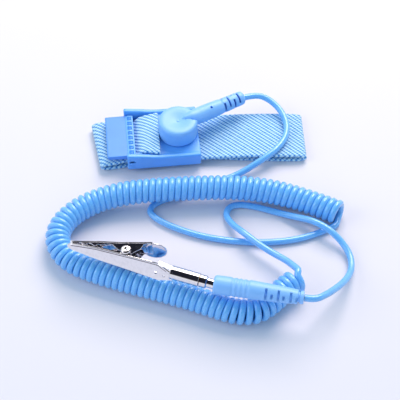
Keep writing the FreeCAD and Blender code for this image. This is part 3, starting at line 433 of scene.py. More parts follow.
def evenly(points, step):
    """The same line, walked in even steps: a list of points, and the line's length."""
    spots = [points[0].copy()]
    walked, wanted = 0.0, step
    for before, after in zip(points, points[1:]):
        run = (after - before).length
        while run > 0 and walked + run >= wanted:
            spots.append(before.lerp(after, (wanted - walked) / run))
            wanted += step
        walked += run
    return spots, walked


# %% The helix
def wind(axis_points, pitch, radius, last_turn):
    """A left-handed helix round an axis, from its lowest point to a share of the last turn."""
    length = evenly(axis_points, 1.0)[1]
    turns = round(length / pitch - last_turn) + last_turn
    count = int(turns * TURN_POINTS)
    axis = evenly(axis_points, length / (count + 1))[0]
    line = []
    for number in range(count + 1):
        here = axis[min(number, len(axis) - 1)]
        ahead = axis[min(number + 2, len(axis) - 1)] - axis[max(number - 2, 0)]
        side = ahead.cross(Vector((0, 0, 1))).normalized()
        top = side.cross(ahead).normalized()
        angle = math.tau * turns * number / count
        loose = 1.0 + 0.02 * noise.noise(Vector((number * 0.01, 0.3, 0.7)))
        line.append(here + (side * math.sin(angle) - top * math.cos(angle)) * radius * loose)
    print(f"turns: {turns:.2f} over {length / MM:.1f} mm")
    return line


snap_lead = spline_points(SNAP_LEAD_ROUTE, 12)
coil_axis = spline_points(COIL_ROUTE, 12)
helix = wind(coil_axis, COIL_PITCH * MM, (COIL_WIDE - CORD_WIDE) / 2 * MM, 0.47)
plug_lead = spline_points(PLUG_LEAD_ROUTE, 12)


# %% Join the line and lay the tube along it
def bridge(start, end):
    """A few points of a smooth line that joins the ends of two lines."""
    reach = (end[0] - start[-1]).length * 0.45
    out = (start[-1] - start[-3]).normalized() * reach
    back = (end[0] - end[2]).normalized() * reach
    first, last = start[-1], end[0]
    spots = []
    for number in range(1, 6):
        t = number / 6
        a, b = first + out, last + back
        spots.append(first * (1 - t) ** 3 + a * 3 * t * (1 - t) ** 2 + b * 3 * t * t * (1 - t) + last * t ** 3)
    return spots


cord_line = snap_lead + bridge(snap_lead, helix) + helix + bridge(helix, plug_lead) + plug_lead


def tube_on(points, width, sides):
    """A round tube along points, as the bevel of a curve, capped at both ends."""
    curve = bpy.data.curves.new("tube", "CURVE")
    curve.dimensions = "3D"
    curve.bevel_depth = width / 2
    curve.bevel_resolution = (sides - 4) // 2
    curve.use_fill_caps = True
    spline = curve.splines.new("POLY")
    spline.points.add(len(points) - 1)
    for point, spot in zip(spline.points, points):
        point.co = (*spot, 1.0)
    holder = bpy.data.objects.new("tube", curve)
    mesh = bpy.data.meshes.new_from_object(holder)
    bpy.data.objects.remove(holder)
    return mesh


jacket = Finish("cord_jacket", (0.17, 0.50, 0.95), 0.24, Specular_IOR_Level=0.8, Coat_Weight=0.4, Coat_Roughness=0.15)
streak = jacket.noise(420.0, 3.0)
jacket.set("Base Color", jacket.blend(jacket.span(streak, 0.35, 0.7), (0.17, 0.50, 0.95), (0.14, 0.46, 0.93)))
fine = jacket.noise(3500.0, 3.0)
jacket.set("Roughness", jacket.span(fine, 0.3, 0.75, 0.20, 0.34))
jacket.bump(fine, 0.00001, 0.5)

cord_length = evenly(cord_line, 1.0)[1]
cord = show("cord", tube_on(cord_line, CORD_WIDE * MM, 12), jacket.material, None,
            ("snap_lead", "curly_cord", "plug_lead"))
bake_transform(cord)
print(f"cord length: {cord_length:.3f} m")

# %% [markdown]
# ## The woven band
# The band is one elastic strip: anchored under the snap, folded at the right, back along the
# table, folded at the left, gripped by the lever and laid on the deck. Its diagonal ribs are
# real ridges. A flat grid is sheared so that its columns run along the ribs, cut square at both
# ends, wrapped into a closed flat section and then laid along the folded line.

# %% Band line
BAND_WIDE = 22.4
BAND_THICK = 1.25
RIB_PITCH = 2.12
RIB_LEAN = 1.12
RIB_HIGH = 0.11
BAND_ROUTE = (
    (-9.0, 0.0, 3.1), (2.0, 0.0, 3.1), (12.0, 0.0, 3.15), (24.0, -0.8, 3.5), (36.0, -1.8, 3.6),
    (45.0, -2.5, 3.3), (49.0, -2.9, 2.95), (50.2, -3.0, 1.9), (49.0, -2.9, 0.85),
    (45.0, -2.6, 0.66), (30.0, -0.8, 0.66), (12.0, 2.0, 0.66), (-6.0, 2.6, 0.66),
    (-18.0, 1.9, 0.66), (-27.4, 0.6, 0.66), (-31.6, 0.2, 1.05), (-32.7, 0.0, 2.3),
    (-31.6, 0.0, 3.6), (-28.0, 0.0, 4.0), (-23.0, 0.0, 3.95), (-18.4, 0.0, 4.0),
    (-16.6, 0.0, 5.4), (-15.0, 0.0, 7.3), (-12.6, -0.1, 8.0), (-10.4, -0.3, 8.15), (-7.6, -0.4, 8.35),
)
# share of the band's length, width factor, slant of the fold (x moves with -y)
BAND_SHAPE = (
    (0.0, 1.0, 0.0), (0.33, 1.0, -0.05), (0.40, 1.0, -0.07), (0.60, 1.0, 0.0), (0.80, 1.0, 0.14),
    (0.87, 1.0, 0.11), (0.905, 0.93, 0.03), (0.93, 0.84, 0.0), (0.96, 0.84, 0.0), (1.0, 0.94, -0.02),
)


def shape_at(share):
    """Width factor and slant at a share of the band's length."""
    for (s0, w0, k0), (s1, w1, k1) in zip(BAND_SHAPE, BAND_SHAPE[1:]):
        if share <= s1:
            t = (share - s0) / (s1 - s0)
            t = t * t * (3 - 2 * t)
            return w0 + (w1 - w0) * t, k0 + (k1 - k0) * t
    return BAND_SHAPE[-1][1:]


band_line, band_length = evenly(spline_points(BAND_ROUTE, 16), 0.05 * MM)
print(f"band length: {band_length / MM:.1f} mm")


# %% Band mesh
def section_point(turn):
    """Across and up on the band's flat section with round edges; turn runs from 0 to 1."""
    flat = (BAND_WIDE - BAND_THICK) / 2
    half = BAND_THICK / 2
    arc = math.pi * half
    along = turn * (4 * flat + 2 * arc)
    if along < 2 * flat:
        return -flat + along, half, 0.0, 1.0
    along -= 2 * flat
    if along < arc:
        angle = along / half
        return flat + half * math.sin(angle), half * math.cos(angle), math.sin(angle), math.cos(angle)
    along -= arc
    if along < 2 * flat:
        return flat - along, -half, 0.0, -1.0
    angle = (along - 2 * flat) / half
    return -flat - half * math.sin(angle), -half * math.cos(angle), -math.sin(angle), -math.cos(angle)


def rib(phase):
    """Height of a rib's round back over its gap, from -1 to 1."""
    return 2 * abs(math.sin(math.pi * phase)) ** 0.6 - 1


COLUMNS_PER_RIB = 8
AROUND = 84
bm = bmesh.new()
reach = BAND_WIDE * RIB_LEAN / 2
columns = math.ceil((band_length / MM + 2 * reach) / (RIB_PITCH / COLUMNS_PER_RIB))
bmesh.ops.create_grid(bm, x_segments=columns, y_segments=AROUND, size=0.5)
for vertex in bm.verts:
    along = (vertex.co.x + 0.5) * columns * RIB_PITCH / COLUMNS_PER_RIB - reach
    across = section_point(vertex.co.y + 0.5)[0]
    vertex.co = Vector((along - across * RIB_LEAN, vertex.co.y + 0.5, 0))
for spot, facing in ((0.0, -1), (band_length / MM, 1)):
    bmesh.ops.bisect_plane(bm, geom=bm.verts[:] + bm.edges[:] + bm.faces[:], plane_co=(spot, 0, 0),
                           plane_no=(facing, 0, 0), clear_outer=True)
weave_map = bm.loops.layers.uv.new("weave")
for face in bm.faces:
    for loop in face.loops:
        place = loop.vert.co
        loop[weave_map].uv = (place.x, section_point(min(max(place.y, 0.0), 1.0))[0])
for vertex in bm.verts:
    along, turn = vertex.co.x, min(max(vertex.co.y, 0.0), 1.0)
    across, up, out_across, out_up = section_point(turn)
    phase = (along + across * RIB_LEAN) / RIB_PITCH
    edge = abs(across) / (BAND_WIDE / 2)
    swell = RIB_HIGH * rib(phase) * (1.0 if edge < 0.9 else 0.8)
    across += out_across * swell
    up += out_up * swell
    share = along * MM / band_length
    wide, slant = shape_at(share)
    spot = min(int(share * (len(band_line) - 1)), len(band_line) - 1)
    before, after = band_line[max(spot - 6, 0)], band_line[min(spot + 6, len(band_line) - 1)]
    heading = (after - before).normalized()
    outward = Vector((-heading.z, 0, heading.x)).normalized()
    vertex.co = band_line[spot] + Vector((-slant, 1, 0)) * across * wide * MM + outward * up * MM
bmesh.ops.remove_doubles(bm, verts=bm.verts, dist=0.00001)
ends = [edge for edge in bm.edges if edge.is_boundary]
bmesh.ops.holes_fill(bm, edges=ends, sides=0)

weave = Finish("woven_band", (0.35, 0.68, 0.95), 0.75, Specular_IOR_Level=0.25, Sheen_Weight=0.25, Sheen_Roughness=0.5)
band = show("strap_band_woven", mesh_of(bm, "band"), weave.material, "wristband", ("strap_band",))
print("band verts:", len(band.data.vertices))

# %% Band finish
where = weave.node("ShaderNodeUVMap", {"uv_map": "weave"})
split = weave.tree.nodes.new("ShaderNodeSeparateXYZ")
weave.tree.links.new(where.socket, split.inputs[0])
along, across = Value(weave, split.outputs["X"]), Value(weave, split.outputs["Y"])
drift = weave.noise(0.35, 2.0, where)
speck = weave.noise(1.7, 2.0, where)
phase = (along + across * RIB_LEAN) / RIB_PITCH
# The rib backs are painted pale and the gaps between them dark: partly the weave's own two colours, partly painted
# highlight on the backs and painted shade in the gaps.
rib_back = (phase * math.pi).wave()
yarn_phase = (along * 0.75 - across * 1.0) / 1.15
yarn = (yarn_phase * math.pi).wave()
tone = rib_back * 0.58 + yarn * 0.40 + (speck - 0.5) * 0.5 + (drift - 0.5) * 0.2
pale = weave.span(tone, 0.34, 0.84)
weave.set("Base Color", weave.blend(pale, (0.03, 0.25, 0.66), (0.62, 0.85, 0.96)))
weave.bump(yarn * 0.5 + rib_back, 0.00012, 0.7)

# %% [markdown]
# ## The snap head
# A soft moulding: a dished cap, a barrel over the resistor that comes out of the cap as a
# pointed ridge, and a slotted strain relief. Real mouldings have no sharp inner corners, so
# the solids are turned or boxed apart, merged by a voxel remesh and smoothed. That rounds
# every joint at once, where boolean unions would leave hard creases.

# %% Turning and merging
def turned(bm, outline, matrix, segments=64):
    """Adds a solid turned from (along, radius) points in mm, its axis the matrix's local X."""
    points = [bm.verts.new(matrix @ mm(x, r, 0)) for x, r in outline]
    edges = [bm.edges.new(pair) for pair in zip(points, points[1:])]
    centre = matrix @ mm(0, 0, 0)
    axis = (matrix @ mm(1, 0, 0) - centre).normalized()
    bmesh.ops.spin(bm, geom=points + edges, cent=centre, axis=axis, dvec=(0, 0, 0),
                   angle=math.tau, steps=segments, use_merge=True, use_duplicate=False)


def boxed(bm, low, high, matrix):
    """Adds a box between two corners in mm, carried by a matrix."""
    centre = (Vector(low) + Vector(high)) / 2
    span = Vector(high) - Vector(low)
    place = matrix @ Matrix.Translation(centre * MM) @ Matrix.Diagonal((*(span * MM), 1.0))
    bmesh.ops.create_cube(bm, size=1.0, matrix=place)


def prism(bm, outline, low, high, matrix):
    """Adds an upright prism over an outline in mm, between two heights."""
    corners = [bm.verts.new(matrix @ mm(x, y, low)) for x, y in outline]
    made = bmesh.ops.extrude_face_region(bm, geom=[bm.faces.new(corners)], use_keep_orig=True)
    rise = matrix.to_3x3() @ mm(0, 0, high - low)
    bmesh.ops.translate(bm, verts=[v for v in made["geom"] if isinstance(v, bmesh.types.BMVert)], vec=rise)


def rings(bm, stations, matrix, segments=48):
    """Adds a solid skinned over rings given as (along, radius, rise off the axis) in mm."""
    last = None
    for along, radius, rise in stations:
        place = matrix @ Matrix.Translation(mm(along, 0, rise)) @ Matrix.Rotation(math.pi / 2, 4, "Y")
        ring = bmesh.ops.create_circle(bm, cap_ends=False, radius=radius * MM, segments=segments, matrix=place)
        edges = list({edge for vertex in ring["verts"] for edge in vertex.link_edges})
        if last:
            bmesh.ops.bridge_loops(bm, edges=last + edges)
        else:
            bmesh.ops.holes_fill(bm, edges=edges, sides=0)
        last = edges
    bmesh.ops.holes_fill(bm, edges=last, sides=0)


def axis_frame(origin, yaw, lean=0.0):
    """A matrix whose local X points along a yaw on the floor plan, leaning up by some degrees."""
    return (Matrix.Translation(mm(*origin)) @ Matrix.Rotation(math.radians(yaw), 4, "Z")
            @ Matrix.Rotation(math.radians(-lean), 4, "Y"))


def slot_wedge(bm, place, half, inner, low_angle, high_angle, matrix, steps=18):
    """Adds a ring sector in mm: the room a moulded slot takes out of a round relief."""
    start = math.radians(low_angle)
    spin_axis = (matrix.to_3x3() @ Vector((1, 0, 0))).normalized()
    corners = []
    for x, r in ((place - half, inner), (place + half, inner), (place + half, 6.0), (place - half, 6.0)):
        corners.append(bm.verts.new(matrix @ mm(x, -r * math.cos(start), r * math.sin(start))))
    face = bm.faces.new(corners)
    bmesh.ops.spin(bm, geom=[face, *face.edges, *face.verts], cent=matrix @ mm(0, 0, 0), axis=spin_axis,
                   dvec=(0, 0, 0), angle=-math.radians(high_angle - low_angle), steps=steps,
                   use_merge=False, use_duplicate=False)
    bmesh.ops.holes_fill(bm, edges=bm.edges, sides=0)


def cut(mesh, cutter_bm, name):
    """Cuts closed shells out of a skin and keeps the cut crisp."""
    bmesh.ops.remove_doubles(cutter_bm, verts=cutter_bm.verts, dist=0.000001)
    cutter = bpy.data.objects.new("cutter", mesh_of(cutter_bm, "cutter"))
    bpy.context.scene.collection.objects.link(cutter)
    result = baked(mesh, ("BOOLEAN", {"operation": "DIFFERENCE", "object": cutter, "solver": "EXACT"}))
    bpy.data.objects.remove(cutter)
    result.name = name
    return result


def moulded(bm, name, voxel, smooth=6):
    """Merges overlapping closed shells into one skin with softened corners."""
    bmesh.ops.remove_doubles(bm, verts=bm.verts, dist=0.000001)
    return baked(mesh_of(bm, name), ("REMESH", {"mode": "VOXEL", "voxel_size": voxel * MM, "adaptivity": 0.0}),
                 ("SMOOTH", {"factor": 0.5, "iterations": smooth}))


UPRIGHT = Matrix.Rotation(-math.pi / 2, 4, "Y")

# %% Cap with a notch for the ridge
SNAP_YAW = 25.1
snap_plan = axis_frame((0, 0, 0), SNAP_YAW)
bm = bmesh.new()
turned(bm, ((7.3, 0), (7.3, 7.2), (7.6, 7.55), (8.3, 7.7), (13.7, 7.72), (14.35, 7.6), (14.8, 7.25), (15.02, 6.75),
            (15.12, 6.1), (15.1, 5.2), (14.95, 4.1), (14.7, 2.9), (14.45, 1.7), (14.28, 0.8), (14.22, 0)), UPRIGHT, 96)
bmesh.ops.remove_doubles(bm, verts=bm.verts, dist=0.000001)
cap = mesh_of(bm, "cap")
bm = bmesh.new()
prism(bm, ((2.3, -0.9), (4.3, -1.9), (5.1, -3.0), (7.2, -4.2), (11.0, -4.2), (11.0, 0.4), (6.0, 0.4)), 13.2, 17.0, snap_plan)
cap = cut(cap, bm, "cap")

# %% Barrel, ridge and relief
barrel_frame = axis_frame((0, 0, 12.45), SNAP_YAW, -2.8)
SLOT_PLACES = (20.8, 23.0, 25.25, 27.5)
bm = bmesh.new()
bm.from_mesh(cap)
turned(bm, ((6.5, 0), (6.5, 2.2), (8.0, 3.1), (10.0, 3.28), (14.5, 3.25), (18.0, 3.12), (19.6, 3.02),
            (19.95, 2.85), (20.0, 0)), barrel_frame)
rings(bm, ((2.1, 0.2, 14.6), (3.3, 1.2, 14.0), (4.6, 2.05, 13.3), (6.0, 2.75, 12.75), (7.6, 3.1, 12.3), (9.5, 3.26, 11.98)), snap_plan)
turned(bm, ((19.5, 0), (19.5, 2.4), (20.15, 2.45), (20.3, 2.95), (22.1, 2.92), (22.2, 2.98), (24.3, 2.86), (24.4, 2.92),
            (26.5, 2.8), (26.6, 2.86), (29.3, 2.76), (29.95, 2.5), (30.35, 1.9), (30.4, 0)), barrel_frame)
snap_skin = moulded(bm, "snap_skin", 0.17, 2)

# %% Socket room, peep hole and nipple
bm = bmesh.new()
turned(bm, ((6.5, 0), (6.5, 4.65), (11.45, 4.65), (11.45, 0)), UPRIGHT, 64)
peep = barrel_frame @ Matrix.Translation(mm(14.75, 0, 0)) @ Matrix.Rotation(math.radians(18), 4, "X") @ UPRIGHT
turned(bm, ((0.8, 0), (0.8, 0.5), (3.05, 0.52), (5.0, 0.75), (5.0, 0)), peep, 24)
for number, place in enumerate(SLOT_PLACES):
    low, high = ((-72, 66), (10, 128))[number % 2]
    for turn_round in (0, 180):
        slot_wedge(bm, place, 0.46, 1.35, low + turn_round, high + turn_round, barrel_frame)
turned(bm, ((29.0, 0), (29.0, 1.2), (32.0, 1.28), (32.0, 0)), barrel_frame, 32)
snap_mesh = cut(snap_skin, bm, "snap_head")
# The snap's plastic, with painted shade deep in the relief's slots.
snap_plastic = soft_plastic("snap_plastic", (0.25, 0.525, 0.98), (0.22, 0.495, 0.96), 0.40,
                            slots=(barrel_frame, 20.2, 28.3, 2.5))
snap = show("snap_head_moulded", snap_mesh, snap_plastic, "snap_head", ("snap_housing",))
bm = bmesh.new()
turned(bm, ((14.1, 0), (14.1, 0.62), (14.3, 0.56), (14.42, 0.36), (14.46, 0.15), (14.46, 0)), UPRIGHT, 32)
bmesh.ops.remove_doubles(bm, verts=bm.verts, dist=0.000001)
show("snap_gate_mark", mesh_of(bm, "nipple"), MOULDED, "snap_head", ())

# %% [markdown]
# ## The buckle frame
# Two side walls, high at the hinge and low at the open end, join a ramp and a deck. The top
# edges are round, as wide as the wall, and run down into the deck. Each wall is a prism of its
# side view with its edges bevelled, and the deck is a thinner prism between them.

# %% Walls, ramp and deck
def side_view(bm, outline, y_low, y_high, rounding=0.0):
    """Adds a prism over an outline of (x, z) points in mm between two y values, edges rounded."""
    part = bmesh.new()
    corners = [part.verts.new(mm(x, y_low, z)) for x, z in outline]
    made = bmesh.ops.extrude_face_region(part, geom=[part.faces.new(corners)], use_keep_orig=True)
    bmesh.ops.translate(part, verts=[v for v in made["geom"] if isinstance(v, bmesh.types.BMVert)],
                        vec=mm(0, y_high - y_low, 0))
    if rounding:
        bmesh.ops.bevel(part, geom=part.edges[:], offset=rounding * MM, offset_type="OFFSET", segments=3,
                        profile=0.5, affect="EDGES", clamp_overlap=True)
    mesh = mesh_of(part, "part")
    bm.from_mesh(mesh)
    bpy.data.meshes.remove(mesh)


WALL_SIDE = ((-21.0, 2.0), (-21.0, 9.95), (-15.0, 9.15), (-10.0, 8.2), (-7.0, 7.95), (3.0, 7.95), (8.05, 8.1),
             (8.05, 6.0), (7.9, 2.0))
bm = bmesh.new()
for side in (-1, 1):
    side_view(bm, WALL_SIDE, *sorted((side * 12.85, side * 10.85)), rounding=0.6)
side_view(bm, ((-21.0, 2.0), (-21.0, 3.1), (-16.6, 3.1), (-13.0, 7.0), (8.0, 7.0), (8.0, 5.5), (-12.4, 5.5),
               (-15.2, 2.0)), -12.0, 12.0)
for side in (-1, 1):
    side_view(bm, ((-11.5, 5.6), (-11.5, 7.1), (7.95, 7.1), (7.95, 5.6)), *sorted((side * 12.1, side * 10.2)), rounding=0.15)
frame_skin = moulded(bm, "frame_skin", 0.22, 3)

# %% Pin holes and stud hole
pin_x, pin_z = -19.1, 6.5
pin_frame = Matrix.Translation(mm(pin_x, 0, pin_z)) @ Matrix.Rotation(math.pi / 2, 4, "Z")
bm = bmesh.new()
turned(bm, ((-12.4, 0), (-12.4, 0.78), (12.4, 0.78), (12.4, 0)), pin_frame, 32)
for side in (-1, 1):
    for shift in (-0.62, 0.0, 0.62):
        turned(bm, ((12.2, 0), (12.2, 0.6 + 0.01 * shift), (13.6, 0.6 + 0.01 * shift), (13.6, 0)),
               Matrix.Translation(mm(pin_x + shift, 0, pin_z)) @ Matrix.Rotation(side * math.pi / 2, 4, "Z"), 24)
turned(bm, ((5.0, 0), (5.0, 1.56), (8.0, 1.56), (8.0, 0)), UPRIGHT, 32)
hole_skin = moulded(bm, "hole_skin", 0.09, 1)
bm = bmesh.new()
bm.from_mesh(hole_skin)
frame_mesh = cut(frame_skin, bm, "frame")
buckle = show("buckle_frame_moulded", frame_mesh, BUCKLE, "wristband", ("buckle_frame",))

# %% [markdown]
# ## The cam lever
# A flat tongue, a round drum on the pin and, along the drum, a ladder of square windows. The
# tongue and the ladder are one moulding, so they are merged and softened together, and the
# windows are cut afterwards to keep their corners crisp.

# %% Lever
bm = bmesh.new()
side_view(bm, ((-28.6, 6.4), (-28.6, 7.8), (-20.3, 7.85), (-20.3, 5.9), (-24.0, 5.9)), -10.5, 10.5, 0.25)
side_view(bm, ((-20.45, 5.4), (-20.45, 7.95), (-17.5, 7.95), (-17.5, 5.6), (-18.4, 5.0)), -10.5, 10.5, 0.25)
turned(bm, ((-10.5, 0), (-10.5, 1.6), (10.5, 1.6), (10.5, 0)), pin_frame, 40)
lever_skin = moulded(bm, "lever_skin", 0.18, 1)
WINDOW_PLACES = [(number - 3.5) * 2.5 - 0.1 for number in range(8)]
bm = bmesh.new()
turned(bm, ((-14, 0), (-14, 0.74), (14, 0.74), (14, 0)), pin_frame, 32)
for y in WINDOW_PLACES:
    boxed(bm, (-19.95, y - 0.85, 7.6), (-18.1, y + 0.85, 9.0), Matrix.Identity(4))
lever = show("cam_lever_moulded", cut(lever_skin, bm, "lever"), LEVER, "lever", ("cam_lever",))
# The ladder's top faces take the lighter copy of the same plastic: painted light on one moulding.
lever.data.materials.append(LIT_LADDER)
for polygon in lever.data.polygons:
    polygon.material_index = int(polygon.center.x > -20.5 * MM and polygon.center.z > 7.2 * MM)
# Thin plates just under the top fill the windows, painted in the darker blue of the holes' shade.
bm = bmesh.new()
for y in WINDOW_PLACES:
    boxed(bm, (-19.93, y - 0.83, 7.6), (-18.12, y + 0.83, 7.9), Matrix.Identity(4))
WINDOW_SHADE = soft_plastic("window_painted_shade", (0.06, 0.30, 0.86), (0.05, 0.27, 0.82), 0.4)
show("cam_lever_window_shade", mesh_of(bm, "windows"), WINDOW_SHADE, "lever", ())

# %% [markdown]
# ## The plug sleeve
# Round grip rings near the mouth, a smooth waist, then a strain relief cut by slots that do
# not reach all the way round. It is made like the snap head: turned shells, merged, softened,
# then slotted with thin wedges. The slots take turns: a long one on one side, a short window
# on the other, so the relief can bend both ways.

# %% Sleeve body
sleeve_frame = axis_frame((5.8, -76.6, 13.8), -15.9)
GRIP_PITCH = 1.75
grip = [(5.95 + GRIP_PITCH * step / 8, 3.27 + 0.15 * math.cos(math.tau * step / 8)) for step in range(33)]
bm = bmesh.new()
turned(bm, ((0.0, 0), (0.0, 2.75), (0.35, 3.2), (0.9, 3.38), (4.9, 3.42), *grip, (13.8, 3.38), (18.0, 3.22),
            (22.2, 3.1), (26.3, 2.85), (29.9, 2.55), (29.9, 0)), sleeve_frame, 96)
turned(bm, ((29.5, 0), (29.5, 1.75), (30.6, 1.75), (30.62, 2.35), (31.7, 2.35), (32.0, 2.1), (32.0, 0)), sleeve_frame, 64)
sleeve_skin = moulded(bm, "sleeve_skin", 0.17, 1)

# %% Slots, bore and mouth
bm = bmesh.new()
for place, (low, high) in ((18.7, (-8, 82)), (23.1, (-8, 82)), (27.45, (-8, 82)), (20.8, (10, 46)), (25.0, (10, 46)),
                           (29.6, (8, 48))):
    for turn_round in (0, 180):
        slot_wedge(bm, place, 0.42, 1.75, low + turn_round, high + turn_round, sleeve_frame)
turned(bm, ((-0.5, 0), (-0.5, 2.45), (1.6, 2.45), (1.6, 0)), sleeve_frame, 48)
turned(bm, ((30.6, 0), (30.6, 1.27), (33.0, 1.27), (33.0, 0)), sleeve_frame, 32)
sleeve_mesh = cut(sleeve_skin, bm, "sleeve")
sleeve = show("plug_sleeve_moulded", sleeve_mesh, SLEEVE, "cord", ("plug_sleeve",))

# %% [markdown]
# ## The alligator clip
# Two jaws of folded sheet on one rivet. The clip's own frame has X along the clip, with zero at
# its mouth, and Z up. A plate is cut out flat, its edges are broken with a small bevel, and
# then it is bent: cheeks rise toward the rivet and lean to the front, the web leans outwards.

# %% Plates
clip_frame = axis_frame((0.977, -74.402, 13.8), -24.5)
CHEEK_RISE = ((-51.0, 0.6), (-48.0, 1.0), (-45.0, 1.4), (-39.0, 2.3), (-28.0, 2.7), (-15.0, 3.06), (0.0, 3.1))


def rise_at(x):
    """Height of the upper cheek's outside over the clip's axis, in mm."""
    for (x0, z0), (x1, z1) in zip(CHEEK_RISE, CHEEK_RISE[1:]):
        if x <= x1:
            return z0 + (z1 - z0) * max(x - x0, 0.0) / (x1 - x0)
    return CHEEK_RISE[-1][1]


def plate(bm, outline, thick, bend, edge=0.09):
    """Adds a flat sheet over an outline in mm, edges broken, carried by a bend to its place."""
    part = bmesh.new()
    corners = [part.verts.new((x, y, -thick)) for x, y in outline]
    made = bmesh.ops.extrude_face_region(part, geom=[part.faces.new(corners)], use_keep_orig=True)
    bmesh.ops.translate(part, verts=[v for v in made["geom"] if isinstance(v, bmesh.types.BMVert)], vec=(0, 0, thick))
    bmesh.ops.recalc_face_normals(part, faces=part.faces)
    bmesh.ops.bevel(part, geom=part.edges[:], offset=edge, offset_type="OFFSET", segments=2, profile=0.5,
                    affect="EDGES", clamp_overlap=True)
    for x, _ in CHEEK_RISE[1:-1]:
        bmesh.ops.bisect_plane(part, geom=part.verts[:] + part.edges[:] + part.faces[:], plane_co=(x, 0, 0),
                               plane_no=(1, 0, 0))
    bmesh.ops.triangulate(part, faces=[face for face in part.faces if len(face.verts) > 4])
    for vertex in part.verts:
        vertex.co = clip_frame @ (Vector(bend(*vertex.co)) * MM)
    mesh = mesh_of(part, "plate")
    bm.from_mesh(mesh)
    bpy.data.meshes.remove(mesh)


def over(drop=0.0, lean=0.27):
    """Bends a plate into an upper cheek."""
    return lambda x, y, z: (x, y, z - drop + rise_at(x) + lean * (y + 0.5))


def under(drop=0.0):
    """Bends a plate into a lower cheek."""
    return lambda x, y, z: (x, y, -z + drop - rise_at(x) - 0.25)


def settled(mesh):
    """The mesh with normals that follow its large faces, so flat sheet mirrors without waves."""
    for polygon in mesh.polygons:
        polygon.use_smooth = True
    return baked(mesh, ("WEIGHTED_NORMAL", {"keep_sharp": False, "weight": 90}))


# %% Lower jaw
LOWER_CHEEK = (
    (-49.7, -1.0), (-48.0, -0.8), (-39.2, -0.4), (-27.8, -0.35), (-15.4, -0.2), (-15.4, 0.7), (-21.5, 0.6),
    (-22.9, 0.75), (-23.6, 1.6), (-24.4, 2.4), (-25.6, 3.2), (-27.0, 3.8), (-28.6, 3.95), (-30.2, 3.4),
    (-31.4, 2.6), (-32.7, 1.9), (-32.9, 0.83), (-35.4, 0.17), (-36.9, 0.35), (-38.3, 1.2), (-39.0, 1.1),
    (-40.0, 0.3), (-42.0, 1.0), (-43.9, 0.1), (-45.8, 0.5), (-46.7, -0.3), (-48.4, 0.0), (-49.6, -0.4))
WEB = (
    (-50.0, 0.1), (-49.7, 0.65), (-48.0, 1.0), (-39.0, 2.25), (-28.0, 2.65), (-20.0, 2.95), (-15.4, 3.05),
    (-13.2, 1.9), (-11.2, 0.9), (-9.6, 0.2), (-9.6, -2.2), (-12.0, -2.95), (-14.9, -3.75), (-19.0, -3.5),
    (-27.5, -2.95), (-39.0, -2.4), (-48.0, -1.45), (-49.6, -0.95), (-50.0, -0.4))
bm = bmesh.new()
plate(bm, LOWER_CHEEK, 0.45, over())
plate(bm, LOWER_CHEEK, 0.45, under())
plate(bm, WEB, 0.45, lambda x, y, z: (x, -1.15 + 0.36 * y - z, y))
plate(bm, ((-15.6, -0.4), (-10.3, -0.6), (-10.3, 1.1), (-15.6, 1.6)), 0.4,
      lambda x, y, z: (x, y, z + 3.0 - 0.12 * (x + 15.6) - 0.25 * y))
turned(bm, ((-10.6, 2.1), (-10.6, 2.4), (-10.45, 2.5), (-0.15, 2.5), (0.0, 2.4), (0.0, 2.1), (-10.6, 2.1)), clip_frame, 72)
bmesh.ops.remove_doubles(bm, verts=bm.verts, dist=0.0000005)
jaw_mesh = mesh_of(bm, "jaw_sheet")
bm = bmesh.new()
for x, z, wide in ((-16.0, -1.0, 0.55), (-12.95, -1.35, 0.6)):
    turned(bm, ((-4.0, 0), (-4.0, wide), (0.6, wide), (0.6, 0)),
           clip_frame @ Matrix.Translation(mm(x, 0, z)) @ Matrix.Rotation(math.pi / 2, 4, "Z"), 24)
show("clip_lower_jaw_folded", settled(cut(jaw_mesh, bm, "lower_jaw")), NICKEL, "clip", ("clip_lower_jaw",))

# %% Rolled edge along the web
bm = bmesh.new()
last = None
for x, z in ((-49.6, 0.75), (-48.0, 1.1), (-44.0, 1.65), (-39.0, 2.35), (-28.0, 2.75), (-20.0, 3.05), (-15.4, 3.12)):
    place = clip_frame @ Matrix.Translation(mm(x, -1.2 + 0.36 * z, z)) @ Matrix.Rotation(math.pi / 2, 4, "Y")
    ring = bmesh.ops.create_circle(bm, cap_ends=False, radius=0.3 * MM, segments=16, matrix=place)
    edges = list({edge for vertex in ring["verts"] for edge in vertex.link_edges})
    if last:
        bmesh.ops.bridge_loops(bm, edges=last + edges)
    last = edges
bmesh.ops.holes_fill(bm, edges=bm.edges, sides=0)
show("clip_rolled_edge", mesh_of(bm, "rolled_edge"), NICKEL, "clip", ())
# A thin dark tube under the rolled edge is painted shade: the dark line that runs along it.
bm = bmesh.new()
last = None
for x, z in ((-48.6, 0.35), (-44.0, 1.0), (-39.0, 1.65), (-28.0, 2.05), (-20.0, 2.3), (-15.6, 2.35), (-12.2, 0.7)):
    place = clip_frame @ Matrix.Translation(mm(x, -1.15 + 0.36 * z, z)) @ Matrix.Rotation(math.pi / 2, 4, "Y")
    ring = bmesh.ops.create_circle(bm, cap_ends=False, radius=0.11 * MM, segments=10, matrix=place)
    edges = list({edge for vertex in ring["verts"] for edge in vertex.link_edges})
    if last:
        bmesh.ops.bridge_loops(bm, edges=last + edges)
    last = edges
bmesh.ops.holes_fill(bm, edges=bm.edges, sides=0)
EDGE_SHADE = bright_metal("edge_painted_shade", (0.13, 0.10, 0.11), 0.5)
show("clip_edge_shade_line", mesh_of(bm, "crease"), EDGE_SHADE, "clip", ())

